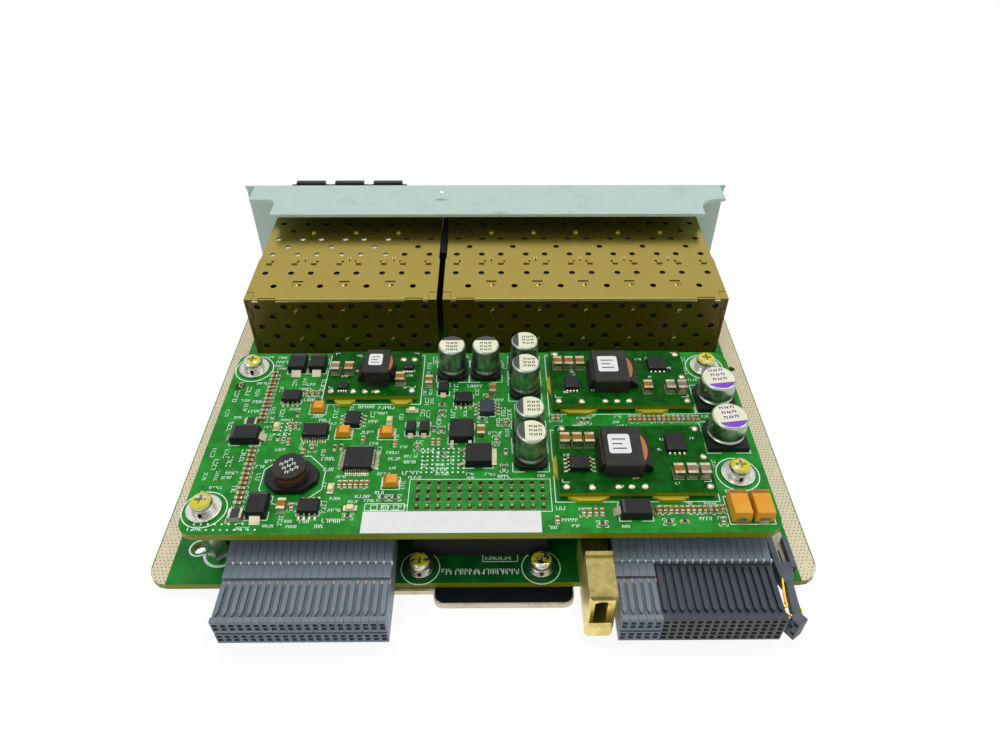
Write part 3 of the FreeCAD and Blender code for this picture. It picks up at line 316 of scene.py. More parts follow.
def cast(name, color, other, roughness, metallic=1.0, grain=0.5):
    """Cast or plated metal with a fine grain and darker patches."""
    f = Finish(name, color, metallic=metallic)
    f.feed("Base Color", f.blend(f.patches(2.5, 0.45, 0.7), color, other))
    f.feed("Roughness", roughness + f.noise(grain, 2) * 0.15)
    f.bumpy(f.noise(grain, 3), 0.2, 0.06)
    return f


def moulded(name, color, worn, roughness, grain=0.35, strength=0.2, depth=0.03, shine=0.35):
    """Moulded plastic, ceramic or rubber with a fine eroded texture."""
    f = Finish(name, color)
    f.feed("Specular IOR Level", shine)
    f.feed("Base Color", f.blend(f.patches(3, 0.4, 0.8), color, worn))
    f.feed("Roughness", roughness + f.noise(grain * 2, 2) * 0.12)
    f.bumpy(f.noise(grain, 2), strength, depth)
    return f


def wound_wire():
    """Copper wire wound in level turns, with painted shade in the grooves between them."""
    f = Finish("wound_copper", (0.45, 0.16, 0.05), metallic=0.8, roughness=0.35)
    turns = (f.axes()[2] * 2.6).fraction()
    # Painted shade: darker towards the grooves between the turns.
    f.feed("Base Color", f.blend(abs(turns - 0.5) * 1.6, (0.5, 0.2, 0.07), (0.12, 0.03, 0.01)))
    f.bumpy(turns, 0.5, 0.1)
    return f


def painted_zinc():
    """Zinc plate under patches of yellow locking paint."""
    f = Finish("locking_paint", (0.62, 0.6, 0.01))
    paint = f.noise(2.2, 3) > 0.44
    f.feed("Base Color", f.blend(paint, (0.6, 0.59, 0.54), (0.62, 0.58, 0.01)))
    f.feed("Metallic", 1 - paint)
    f.feed("Roughness", 0.2 + paint * 0.12)
    f.bumpy(f.noise(0.8, 2), 0.2, 0.08)
    return f


def guide_casting():
    """Gold-toned die casting, with painted shade darkening its level faces."""
    f = Finish("guide_casting", (0.6, 0.46, 0.2), metallic=0.85)
    patches = f.patches(2.5, 0.4, 0.7)
    sides = f.blend(patches, (0.9, 0.76, 0.26), (0.62, 0.46, 0.12))
    # Painted shade: the level faces get much darker tones than the sides.
    level = f.blend(patches, (0.26, 0.215, 0.075), (0.14, 0.11, 0.03))
    f.feed("Base Color", f.blend(f.facing_up(), sides, level))
    f.feed("Roughness", 0.24 + f.noise(0.8, 2) * 0.2)
    f.bumpy(f.noise(0.8, 3), 0.25, 0.08)
    return f


FINISHES = {
    "card": card_resist(),
    "power": resist("power_resist", (0.001, 0.17, 0.005), (0.01, 0.33, 0.02), 0.8),
    "module": resist("module_resist", (0.001, 0.055, 0.001), (0.004, 0.14, 0.006), 0.6, 0.06),
    "panel": galvanised(),
    # Painted shade and painted reflection on the cages' rear faces: a dark, warm, less metallic
    # tone.
    "cage": sheet_metal("cage_sheet", (0.38, 0.3, 0.065), (0.38, 0.25, 0.035), 0.16,
                        rear=((0.088, 0.07, 0.002), (0.11, 0.056, 0.005))),
    # A lighter copy of the cage sheet: painted highlight on the rear lips, bumps and window tabs.
    "cage_bright": cast("cage_painted_highlight", (0.75, 0.66, 0.36), (0.6, 0.5, 0.22), 0.25),
    # A darker copy of the cage sheet, for painted shade inside the cages.
    "cage_shaded": sheet_metal("cage_inside_shade", (0.1, 0.08, 0.03), (0.05, 0.04, 0.015), 0.4),
    "plate": cast("plate_nickel", (0.62, 0.55, 0.4), (0.45, 0.38, 0.24), 0.35),
    "film": moulded("black_film", (0.002, 0.004, 0.006), (0.004, 0.006, 0.01), 0.3, shine=0.12),
    "zinc": cast("zinc_plate", (0.6, 0.59, 0.54), (0.42, 0.42, 0.4), 0.18, grain=2.0),
    "lock_paint": painted_zinc(),
    "tin": cast("tinned", (0.52, 0.47, 0.34), (0.3, 0.26, 0.16), 0.24, grain=0.25),
    "solder": cast("solder_flux", (0.12, 0.1, 0.06), (0.06, 0.045, 0.02), 0.3, grain=0.3),
    "gold": cast("gold_contact", (0.9, 0.5, 0.03), (0.8, 0.36, 0.02), 0.25),
    "copper": cast("bare_copper", (0.6, 0.24, 0.09), (0.4, 0.13, 0.04), 0.3),
    "guide": guide_casting(),
    "slate": moulded("slate_moulding", (0.14, 0.178, 0.215), (0.18, 0.222, 0.265), 0.34),
    "slate_dark": moulded("slate_moulding_dark", (0.02, 0.028, 0.042), (0.035, 0.045, 0.062), 0.34),
    "slate_pale": moulded("slate_moulding_pale", (0.068, 0.072, 0.073), (0.1, 0.102, 0.104), 0.45),
    "slate_cut": moulded("slate_fracture", (0.075, 0.09, 0.11), (0.13, 0.15, 0.18), 0.5, 0.8, 0.5),
    "socket": moulded("socket_black", (0.003, 0.003, 0.003), (0.007, 0.007, 0.007), 0.6),
    "black": moulded("package_black", (0.005, 0.005, 0.005), (0.012, 0.012, 0.012),
                     0.4, shine=0.22),
    "black_blue": moulded("package_blue", (0.012, 0.018, 0.035), (0.03, 0.04, 0.065), 0.35),
    "rubber": moulded("plug_rubber", (0.012, 0.012, 0.012), (0.03, 0.028, 0.022), 0.5),
    "can": cast("can_side", (0.36, 0.42, 0.34), (0.26, 0.32, 0.25), 0.22, grain=1.2),
    "can_top": moulded("can_lacquer", (0.82, 0.82, 0.6), (0.7, 0.7, 0.5), 0.35),
    "mark_grey": moulded("mark_grey", (0.045, 0.043, 0.045), (0.07, 0.066, 0.066), 0.4),
    "mark_purple": moulded("mark_purple", (0.2, 0.05, 0.5), (0.24, 0.08, 0.56), 0.35),
    "ferrite": moulded("ferrite", (0.016, 0.015, 0.013), (0.04, 0.034, 0.028), 0.38, 0.5,
                       0.4, shine=0.2),
    "former": moulded("coil_tape", (0.006, 0.005, 0.005), (0.02, 0.014, 0.012), 0.38),
    "wire": wound_wire(),
    "ceramic": moulded("capacitor_body", (0.28, 0.11, 0.006), (0.4, 0.18, 0.016), 0.32, shine=0.15),
    "ceramic_grey": moulded("capacitor_grey", (0.2, 0.15, 0.1), (0.3, 0.24, 0.16), 0.35),
    "orange": moulded("capacitor_orange", (0.72, 0.3, 0.01), (0.8, 0.4, 0.02), 0.35),
    "orange_band": moulded("capacitor_band", (0.3, 0.09, 0.005), (0.4, 0.13, 0.01), 0.38),
    "resistor": moulded("resistor_glaze", (0.01, 0.012, 0.02), (0.02, 0.024, 0.04), 0.3),
    "alumina": moulded("alumina", (0.5, 0.5, 0.46), (0.4, 0.4, 0.36), 0.45),
    "lens": moulded("lamp_lens", (0.75, 0.72, 0.28), (0.88, 0.84, 0.5), 0.25),
    "pad_yellow": moulded("pad_yellow", (0.4, 0.36, 0.01), (0.5, 0.46, 0.03), 0.35),
    "paper": moulded("label_paper", (0.8, 0.8, 0.8), (0.74, 0.74, 0.74), 0.5, 0.6, 0.08),
    "cream": moulded("cream_solder_mask", (0.55, 0.52, 0.38), (0.44, 0.4, 0.27), 0.5),
    "print": moulded("label_print", (0.05, 0.05, 0.06), (0.1, 0.1, 0.1), 0.5),
    "ink": moulded("screen_ink", (0.85, 0.98, 0.88), (0.6, 0.86, 0.7), 0.55),
}


# ---- shapes ------------------------------------------------------------------------------


def separate_solids(node):
    """The boxes of a node's separate solids as (low, high) in millimetres, in reading order."""
    mesh = nodes[node].data
    owner = {}

    def root(key):
        while owner[key] != key:
            owner[key] = owner[owner[key]]
            key = owner[key]
        return key

    keys = [tuple(round(c / MM, 3) for c in vertex.co) for vertex in mesh.vertices]
    for key in keys:
        owner.setdefault(key, key)
    for polygon in mesh.polygons:
        first = root(keys[polygon.vertices[0]])
        for index in polygon.vertices[1:]:
            owner[root(keys[index])] = first
    groups = {}
    for key in owner:
        groups.setdefault(root(key), []).append(key)
    boxes = [(Vector(min(k[i] for k in group) for i in range(3)),
              Vector(max(k[i] for k in group) for i in range(3))) for group in groups.values()]
    return sorted(boxes, key=lambda box: (round(box[0].x, 1), box[0].y))


def span(node):
    """A node's low and high corner, in millimetres."""
    low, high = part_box(node)
    return low / MM, high / MM


def round_solids(node):
    """Middle, radius, foot and top of each of a node's round solids."""
    for low, high in separate_solids(node):
        yield (low.x + high.x) / 2, (low.y + high.y) / 2, (high.x - low.x) / 2, low.z, high.z


def long_sides(low, high):
    """Whether a solid is longest along X, then its ends along and across that way."""
    along_x = high.x - low.x > high.y - low.y
    sides = ((low.x, high.x), (low.y, high.y))
    return (along_x, *(sides if along_x else sides[::-1]))


def circle(x, y, radius, count, start=0.0):
    """Points round a circle."""
    turn = 2 * math.pi / count
    return [(x + radius * math.cos(start + k * turn), y + radius * math.sin(start + k * turn))
            for k in range(count)]


def rectangle(x0, x1, y0, y1):
    return [(x0, y0), (x1, y0), (x1, y1), (x0, y1)]


def centred_rectangle(x, y, width, depth):
    return rectangle(x - width / 2, x + width / 2, y - depth / 2, y + depth / 2)


# Turns a piece's Y into the card's Z, for sheets that stand upright across the card.
UPRIGHT = Matrix(((1, 0, 0, 0), (0, 0, -1, 0), (0, 1, 0, 0), (0, 0, 0, 1)))
LYING = Matrix.Identity(4)


class Piece:
    """One piece in the making: a mesh in millimetres whose faces take numbered finishes."""

    def __init__(self, *finishes):
        self.mesh = bmesh.new()
        self.finishes = finishes
        self.turn = LYING

    def point(self, x, y, z):
        return self.mesh.verts.new(self.turn @ Vector((x, y, z)))

    def loop(self, outline, z):
        return [self.point(x, y, z) for x, y in outline]

    def face(self, corners, finish):
        self.mesh.faces.new(corners).material_index = self.finishes.index(finish)

    def walls(self, first, second, finish):
        """The faces between two loops of corners."""
        for k in range(len(first)):
            j = (k + 1) % len(first)
            self.face([first[k], first[j], second[j], second[k]], finish)

    def loft(self, first, second, finish, top=None):
        """A solid between two loops of corners."""
        self.face(first[::-1], finish)
        self.face(second, top or finish)
        self.walls(first, second, finish)

    def prism(self, outline, z0, z1, finish, top=None, shrink=0.0):
        """An upright prism; shrink draws its upper outline in towards the middle."""
        mx = sum(x for x, _ in outline) / len(outline)
        my = sum(y for _, y in outline) / len(outline)
        upper = []
        for x, y in outline:
            away = math.hypot(x - mx, y - my) or 1.0
            scale = max(0.0, 1 - shrink / away)
            upper.append((mx + (x - mx) * scale, my + (y - my) * scale))
        self.loft(self.loop(outline, z0), self.loop(upper, z1), finish, top)

    def across(self, profile, x0, x1, finish):
        """A prism along X on a profile of (y, z) points."""
        self.loft(*([self.point(x, y, z) for y, z in profile] for x in (x0, x1)), finish)

    def block(self, x0, x1, y0, y1, z0, z1, finish, top=None, shrink=0.0):
        self.prism(rectangle(x0, x1, y0, y1), z0, z1, finish, top, shrink)

    def long_block(self, along_x, along, across, *rest, **named):
        """A block placed along and across a solid's long side."""
        (x0, x1), (y0, y1) = (along, across) if along_x else (across, along)
        self.block(x0, x1, y0, y1, *rest, **named)

    def moulding(self, low, high, finish, shrink=0.2, share=0.5, lift=0.0):
        """A moulded body that fills a solid's box and leans inwards above its seam."""
        seam = low.z + (high.z - low.z) * share
        self.block(low.x, high.x, low.y, high.y, low.z + lift, seam, finish)
        self.block(low.x, high.x, low.y, high.y, seam, high.z, finish, shrink=shrink)

    def lathe(self, x, y, profile, finishes, count=32, closed=True):
        """A shape turned about an upright line, from (radius, z) points, one finish a band."""
        rings = [self.loop(circle(x, y, radius, count), z) for radius, z in profile]
        for low, high, finish in zip(rings[:-1], rings[1:], finishes):
            self.walls(low, high, finish)
        if closed:
            self.face(rings[-1], finishes[-1])
            self.face(rings[0][::-1], finishes[0])

    def sheet(self, outline, holes, z0, z1, finish):
        """A flat sheet with holes through it."""
        rims = [self.loop(loop, z1) for loop in (outline, *holes)]
        edges = [self.mesh.edges.new(pair) for rim in rims for pair in zip(rim, rim[1:] + rim[:1])]
        filled = bmesh.ops.triangle_fill(self.mesh, edges=edges, use_beauty=True,
                                         use_dissolve=False, normal=self.turn @ Vector((0, 0, 1)))
        below = {corner: self.point(x, y, z0)
                 for rim, loop in zip(rims, (outline, *holes)) for corner, (x, y) in zip(rim, loop)}
        for made in filled["geom"]:
            if isinstance(made, bmesh.types.BMFace):
                made.material_index = self.finishes.index(finish)
                self.face([below[corner] for corner in reversed(made.verts)], finish)
        for rim in rims:
            self.walls([below[corner] for corner in rim], rim, finish)

    def done(self, name, slot, replaces=(), bevel=0.0, smooth=40):
        """Closes the piece, hangs it on the card and hides the nodes that it stands for."""
        bmesh.ops.recalc_face_normals(self.mesh, faces=self.mesh.faces)
        bmesh.ops.scale(self.mesh, vec=(MM, MM, MM), verts=self.mesh.verts)
        data = bpy.data.meshes.new(name)
        self.mesh.to_mesh(data)
        self.mesh.free()
        for finish in self.finishes:
            data.materials.append(FINISHES[finish].material)
        piece = placed(name, data)
        data.shade_smooth()
        data.set_sharp_from_angle(angle=math.radians(smooth))
        if bevel:
            rounding = piece.modifiers.new("rounding", "BEVEL")
            rounding.width = bevel * MM
            rounding.segments = 2
            rounding.limit_method = "ANGLE"
            rounding.harden_normals = True
        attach(piece, "root")
        if replaces:
            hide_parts(*replaces)


def placed(name, data):
    """A new object in the scene."""
    made = bpy.data.objects.new(name, data)
    bpy.context.scene.collection.objects.link(made)
    return made


# ---- levels read from the card -----------------------------------------------------------

BOARD_TOP = span("main_board")[1].z
POWER_TOP = span("power_board")[1].z
MODULE_TOP = span("rear_converter_board")[1].z
CAGE_TOP = span("left_cage_cover")[1].z
MODULES = ("rear_converter_board", "front_converter_board", "left_converter_board")

# ---- fasteners ---------------------------------------------------------------------------

HEAD_HEIGHT = 2.4
SHANK_RADIUS = 1.2
# The ends of a spring washer's turn, in degrees, and how far apart they stand.
SPLIT_START, SPLIT_TURN, SPLIT_STEPS, SPLIT_LIFT = -80, 340, 30, 0.12


def screw_head(piece, x, y, seat, radius):
    """A pan head with a cross recess, part of it under locking paint."""
    flat, height = radius * 0.62, HEAD_HEIGHT
    top = seat + height
    piece.lathe(x, y, [(radius * 0.96, seat), (radius, seat + 0.25), (radius, seat + height * 0.55),
                       (radius * 0.95, seat + height * 0.76), (radius * 0.82, seat + height * 0.92),
                       (flat, top)],
                ["zinc"] * 3 + ["lock_paint"] * 2, count=40, closed=False)
    arm, half = radius * 0.5, radius * 0.13
    cross = [(half, half), (half, arm), (-half, arm), (-half, half), (-arm, half), (-arm, -half),
             (-half, -half), (-half, -arm), (half, -arm), (half, -half), (arm, -half), (arm, half)]
    recess = [(x + a, y + b) for a, b in cross]
    piece.sheet(circle(x, y, flat, 40), [recess], top - 0.9, top, "lock_paint")
    piece.block(x - arm, x + arm, y - arm, y + arm, top - 1.3, top - 0.85, "zinc")


def screws():
    screw = Piece("zinc", "lock_paint")
    for x, y, radius, foot, top in round_solids("board_screws"):
        seat = top - HEAD_HEIGHT
        screw_head(screw, x, y, seat, radius)
        screw.lathe(x, y, [(SHANK_RADIUS, foot), (SHANK_RADIUS, seat + 0.3)], ["zinc"], count=16)
    screw.done("board_screws_headed", "fastener_steel", ["board_screws"])


def washers():
    flat, split = Piece("zinc"), Piece("zinc")
    for x, y, radius, foot, top in round_solids("flat_washers"):
        flat.sheet(circle(x, y, radius, 48), [circle(x, y, 1.62, 32)], foot, top, "zinc")
    flat.done("flat_washers_round", "fastener_steel", ["flat_washers"], bevel=0.08)
    for x, y, outer, foot, top in round_solids("spring_washers"):
        rings = []
        for k in range(SPLIT_STEPS + 1):
            angle = math.radians(SPLIT_START + SPLIT_TURN * k / SPLIT_STEPS)
            lift = SPLIT_LIFT * (k / SPLIT_STEPS - 0.5)
            c, s = math.cos(angle), math.sin(angle)
            rings.append([split.point(x + r * c, y + r * s, z + lift) for r, z in
                          ((1.65, foot), (outer, foot), (outer, top), (1.65, top))])
        for a, b in zip(rings[:-1], rings[1:]):
            split.walls(a, b, "zinc")
        split.face(rings[0][::-1], "zinc")
        split.face(rings[-1], "zinc")
    split.done("spring_washers_split", "fastener_steel", ["spring_washers"], bevel=0.05)


# ---- cans, chokes and packages -----------------------------------------------------------


def can(piece, x, y, radius, foot, top, mark, side, share, along):
    """An aluminium can with a beaded foot; part of its lacquered top is marked."""
    profile = [(radius * 0.9, foot), (radius * 0.98, foot + 0.15), (radius, foot + 0.4),
               (radius, foot + 0.9), (radius * 0.93, foot + 1.25), (radius * 0.925, foot + 1.5),
               (radius, foot + 1.95), (radius, top - 0.8), (radius * 0.985, top - 0.4),
               (radius * 0.94, top - 0.12), (radius * 0.88, top)]
    piece.lathe(x, y, profile, ["can"] * 10, count=48, closed=False)
    rim = circle(x, y, radius * 0.88, 48)
    angle = math.radians(side)
    marked = [math.cos(angle) * (px - x) + math.sin(angle) * (py - y) > radius * 0.88 * share
              for px, py in rim]
    first = next(k for k in range(48) if marked[k] and not marked[k - 1])
    crown = piece.loop(rim[first:] + rim[:first], top)
    count = sum(marked)
    piece.face(crown[:count], mark)
    piece.face(crown[count - 1:] + crown[:1], "can_top")
    round_print(piece, x, y, radius, top, mark, along, side + 180, 0.24)


def round_print(piece, x, y, radius, top, finish, along, away=0, shift=0.0):
    """Three short rows of printed marks on a round top, moved away from its middle."""
    away, run = math.radians(away), math.radians(along)
    x, y = x + shift * radius * math.cos(away), y + shift * radius * math.sin(away)
    size, level = radius * 0.1, top + 0.02
    for row in (-1, 0, 1):
        for k in (-1, 0, 1):
            px = x + radius * (0.3 * k * math.cos(run) - 0.36 * row * math.sin(run))
            py = y + radius * (0.3 * k * math.sin(run) + 0.36 * row * math.cos(run))
            for x0, x1 in ((-size, -size * 0.45), (size * 0.45, size)):
                stroke(piece, px + x0, px + x1, py - size, py + size, level, finish)
            bar = py + size * (0.65 if k else -0.2)
            stroke(piece, px - size, px + size, bar - size * 0.25, bar + size * 0.25, level, finish)


def cans():
    small = Piece("can", "can_top", "mark_grey")
    for x, y, *size in round_solids("electrolytic_cans"):
        facing = 90 if x - size[0] < 2.0 else 180
        can(small, x, y, *size, "mark_grey", facing, 0.42, 0)
    small.done("electrolytic_cans_marked", "can_aluminium", ["electrolytic_cans"])
    large = Piece("can", "can_top", "mark_purple")
    for body in round_solids("polymer_cans"):
        can(large, *body, "mark_purple", -82, 0.45, 8)
    large.done("polymer_cans_marked", "can_aluminium", ["polymer_cans"])


def chip_bodies():
    """Ceramic capacitors with tinned ends, on tinned pads."""
    chip = Piece("ceramic", "tin", "ceramic_grey")
    rng = random.Random(SEED)
    for node in ("chip_capacitors", "converter_capacitors"):
        for low, high in separate_solids(node):
            end_capped(chip, low, high, "ceramic_grey" if rng.random() < 0.25 else "ceramic",
                       "tin", 0.24)
    chip.done("ceramic_capacitors", "capacitor_ceramic",
              ["chip_capacitors", "converter_capacitors"], bevel=0.07)
    film = Piece("resistor", "alumina", "tin")
    for low, high in separate_solids("chip_resistors"):
        end_capped(film, low, high, "alumina", "tin", 0.18, top="resistor")
    film.done("film_resistors", "resistor_body", ["chip_resistors"], bevel=0.04)


def end_capped(piece, low, high, body, ends, share, top=None):
    """A chip with a metal cap at each end of its long side, and solder on its pads."""
    along_x, (a0, a1), (c0, c1) = long_sides(low, high)
    cap, inset = (a1 - a0) * share, 0.035
    piece.long_block(along_x, (a0 + cap * 0.8, a1 - cap * 0.8), (c0 + inset, c1 - inset),
                     low.z + 0.05, high.z - inset, body, top)
    for ends_along in ((a0, a0 + cap), (a1 - cap, a1)):
        piece.long_block(along_x, ends_along, (c0, c1), low.z + 0.03, high.z, ends)
    piece.long_block(along_x, (a0 - 0.3, a1 + 0.3), (c0 - 0.05, c1 + 0.05),
                     low.z, low.z + 0.06, ends)
    for fillet in ((a0, a0 - 0.28), (a1, a1 + 0.28)):
        solder_fillet(piece, fillet, (c0 + 0.05, c1 - 0.05), low.z, (high.z - low.z) * 0.5,
                      ends, along_x)


def solder_fillet(piece, along, across, z, rise, finish, along_x):
    """A wedge of solder from a chip's end down to its pad."""
    near, far = along
    corners = []
    for side in across:
        for distance, height in ((near, 0.0), (far, 0.0), (near, rise)):
            place = (distance, side) if along_x else (side, distance)
            corners.append(piece.point(*place, z + height))
    a, b, c, d, e, f = corners
    for loop in ((a, b, c), (f, e, d), (a, d, e, b), (b, e, f, c), (c, f, d, a)):
        piece.face(list(loop), finish)


def gull_leads(piece, x, y, out, length, count, width, reach, height, level):
    """Bent leads along one side of a package, each on its own pad."""
    ox, oy = out
    thickness = 0.16
    knee = reach * 0.38
    profile = [(0, height), (knee, height), (knee + 0.15, thickness + 0.05), (reach, thickness),
               (reach, 0.02), (knee, 0.02), (knee - 0.15, height - thickness),
               (0, height - thickness)]
    for k in range(count):
        shift = (k - (count - 1) / 2) * length / (count - 1)
        cx, cy = x + abs(oy) * shift, y + abs(ox) * shift
        sides = []
        for half in (-width / 2, width / 2):
            sides.append([piece.point(cx + ox * d + abs(oy) * half, cy + oy * d + abs(ox) * half,
                                      level + h) for d, h in profile])
        piece.loft(*sides, "tin")
        pad = width * 0.65
        xs = sorted((cx + ox * knee, cx + ox * (reach + 0.35)))
        ys = sorted((cy + oy * knee, cy + oy * (reach + 0.35)))
        piece.block(xs[0] - abs(oy) * pad, xs[1] + abs(oy) * pad,
                    ys[0] - abs(ox) * pad, ys[1] + abs(ox) * pad, level, level + 0.03, "tin")


def dimple(piece, low, high, dx, dy, radius):
    """A round mark moulded beside a package's first lead."""
    place = circle(low.x + dx, low.y + dy, radius, 16)
    piece.prism(place, high.z - 0.02, high.z + 0.012, "mark_grey")


def packages():
    """Black moulded chips, with their leads and first-lead marks."""
    leads = Piece("tin")
    body = Piece("black", "mark_grey", "black_blue")
    for low, high in separate_solids("logic_chips"):
        along_x, (a0, a1), across = long_sides(low, high)
        count, pitch, lead = (10, 0.65, 0.24) if a1 - a0 > 5.5 else (4, 1.27, 0.4)
        middle = (low + high) / 2
        body.moulding(low, high, "black" if along_x or low.x <= -5 else "black_blue")
        dimple(body, low, high, 0.75, 0.75, 0.28)
        for side, edge in zip((-1, 1), across):
            x, y, out = (middle.x, edge, (0, side)) if along_x else (edge, middle.y, (side, 0))
            gull_leads(leads, x, y, out, pitch * (count - 1), count, lead, 1.15, 0.8, POWER_TOP)
    low, high = span("control_chip")
    middle, half = (low + high) / 2, (high.x - low.x) / 2
    body.moulding(low, high, "black")
    dimple(body, low, high, 0.9, 0.9, 0.32)
    for ox, oy in ((1, 0), (-1, 0), (0, 1), (0, -1)):
        gull_leads(leads, middle.x + ox * half, middle.y + oy * half, (ox, oy),
                   5.5, 12, 0.24, 1.1, 0.8, POWER_TOP)
    for low, high in separate_solids("converter_chips"):
        body.block(low.x, high.x, low.y, high.y, low.z, high.z, "black", shrink=0.12)
        dimple(body, low, high, 0.7, 0.6, 0.25)
        middle = (low + high) / 2
        tall = high.z - low.z > 1.3
        for side, x, y in ((-1, low.x, low.y), (1, high.x, high.y)):
            if tall:
                gull_leads(leads, x, middle.y, (side, 0), 3.81, 4, 0.4, 1.0, 0.7, MODULE_TOP)
            else:
                gull_leads(leads, middle.x, y, (0, side), (high.x - low.x) * 0.72, 4, 0.4,
                           0.45, 0.25, MODULE_TOP)
    body.done("moulded_chips", "black_plastic",
              ["logic_chips", "control_chip", "converter_chips"], bevel=0.06)
    leads.done("chip_leads", "solder")


# The band's ends from the marked end, its inset, then the insets of the tabs and their pads
# and how far the pads reach, for blocks that lie along X and for those along Y.
SMALL_BLOCK = ((0.2, 0.85), 0.18, 0.45, 0.35, 0.45)
LARGE_BLOCK = ((0.25, 1.3), 0.2, 1.0, 0.8, 0.5)


def tantalums():
    block = Piece("orange", "orange_band", "tin")
    for low, high in separate_solids("tantalum_capacitors"):
        middle = (low.z + high.z) / 2
        along_x, (a0, a1), (c0, c1) = long_sides(low, high)
        (near, far), inset, tab, pad, reach = SMALL_BLOCK if along_x else LARGE_BLOCK
        band = (a0 + near, a0 + far) if along_x else (a1 - far, a1 - near)
        block.moulding(low, high, "orange", lift=0.05)
        block.long_block(along_x, band, (c0 + inset, c1 - inset), high.z - 0.02, high.z + 0.01,
                         "orange_band")
        for t0, t1 in ((a0 - 0.05, a0 + 0.12), (a1 - 0.12, a1 + 0.05)):
            block.long_block(along_x, (t0, t1), (c0 + tab, c1 - tab), low.z, middle, "tin")
            block.long_block(along_x, (t0 - reach, t1 + reach), (c0 + pad, c1 - pad),
                             low.z - 0.1, low.z, "tin")
    block.done("tantalum_blocks", "orange_plastic", ["tantalum_capacitors"], bevel=0.1)


def diodes():
    """Moulded diodes with a printed bar at one end."""
    block = Piece("black", "mark_grey")
    for node in ("rectifier_diodes", "power_transistors"):
        for low, high in separate_solids(node):
            block.moulding(low, high, "black", shrink=0.25, share=0.45)
            if node == "rectifier_diodes":
                along_x, (a0, a1), (c0, c1) = long_sides(low, high)
                bar = (a0 + 0.35, a0 + 0.9) if along_x else (a1 - 0.9, a1 - 0.35)
                block.long_block(along_x, bar, (c0 + 0.3, c1 - 0.3),
                                 high.z - 0.02, high.z + 0.01, "mark_grey")
    block.done("moulded_diodes", "black_plastic", ["rectifier_diodes", "power_transistors"],
               bevel=0.12)


def lamps():
    lamp = Piece("alumina", "lens", "tin")
    for low, high in separate_solids("indicator_lamps"):
        along_x, (a0, a1), (c0, c1) = long_sides(low, high)
        foot = low.z + 0.35
        lamp.block(low.x, high.x, low.y, high.y, low.z, foot, "alumina")
        lamp.long_block(along_x, (a0 + 0.65, a1 - 0.65), (c0 + 0.1, c1 - 0.1), foot, high.z,
                        "lens", shrink=0.12)
        for cap in ((a0 - 0.15, a0 + 0.35), (a1 - 0.35, a1 + 0.15)):
            lamp.long_block(along_x, cap, (c0, c1), low.z, low.z + 0.42, "tin")
    lamp.done("indicator_lamps_clear", "lamp_lens", ["indicator_lamps"], bevel=0.05)


# ---- pins and solder ---------------------------------------------------------------------


def soldered_pins():
    """Header pins, each standing out of a cone of solder on a round pad."""
    pin, foot = Piece("solder", "tin"), Piece("tin")
    for x, y, _, z, _ in round_solids("header_pins"):
        pin.lathe(x, y, [(0.78, z), (0.78, z + 0.03), (0.5, z + 0.12), (0.34, z + 0.45),
                         (0.27, z + 0.8)], ["solder"] * 4, count=16)
        pin.prism(circle(x, y, 0.3, 4, math.pi / 4), z + 0.7, z + 1.4, "tin", shrink=0.1)
    pin.done("header_pins_soldered", "solder", ["header_pins"])
    for x, y, _, z, top in round_solids("converter_pins"):
        if z > MODULE_TOP - 0.3:
            foot.lathe(x, y, [(0.95, z), (0.92, z + 0.1), (0.7, z + 0.3), (0.35, z + 0.42)],
                       ["tin"] * 3, count=20)
        else:
            foot.lathe(x, y, [(0.8, z), (0.45, z + 0.3), (0.45, top)], ["tin"] * 2, count=12)
    foot.done("converter_pins_soldered", "solder", ["converter_pins"])


# ---- port cages --------------------------------------------------------------------------

PORT_PITCH = 14.25
SHEET = 0.3
VENT_RADIUS = 0.97
VENT_OFFSET = 4.05
# Distance of each row of vents from the cage's rear edge, and whether it has a pair a port.
COVER_ROWS = ((7.05, 0), (14.05, 1), (24.65, 1), (29.15, 0), (33.95, 1), (38.95, 0), (43.65, 1),
              (48.45, 0), (53.25, 1))
REAR_ROWS = ((6.25, 0), (10.05, 1), (13.85, 0), (17.65, 1), (21.5, 0), (25.25, 1))
BUMP_DISTANCES = (21.85, 37.95)
CATCH_DISTANCE = 19.65
REAR_BUMPS = (12.65, 23.65)
HOOK_INSET, HOOK_WIDTH = 6.5, 5.4
CORNER_TAB = 2.1
# The stretches of a port, from the rear edge, that show through the vents of its cover.
# An open port shows a black sheet under its vents: painted shade.
OPEN_PORT = ((11.0, 62.0, "socket"),)
PLUGGED_PORT = ((11.0, 23.0, "socket"), (23.0, 36.0, "paper"), (36.0, 62.0, "socket"))
# How many of each cage's upper ports, counted from the left, hold a plug.
PLUGGED_PORTS = {"left": 3, "right": 0}


def vents(centres, rows, start):
    """The round holes over every port of a cage."""
    holes = []
    for x in centres:
        for distance, pair in rows:
            for offset in ((-VENT_OFFSET, VENT_OFFSET) if pair else (0,)):
                holes.append(circle(x + offset, start + distance, VENT_RADIUS, 16))
    return holes


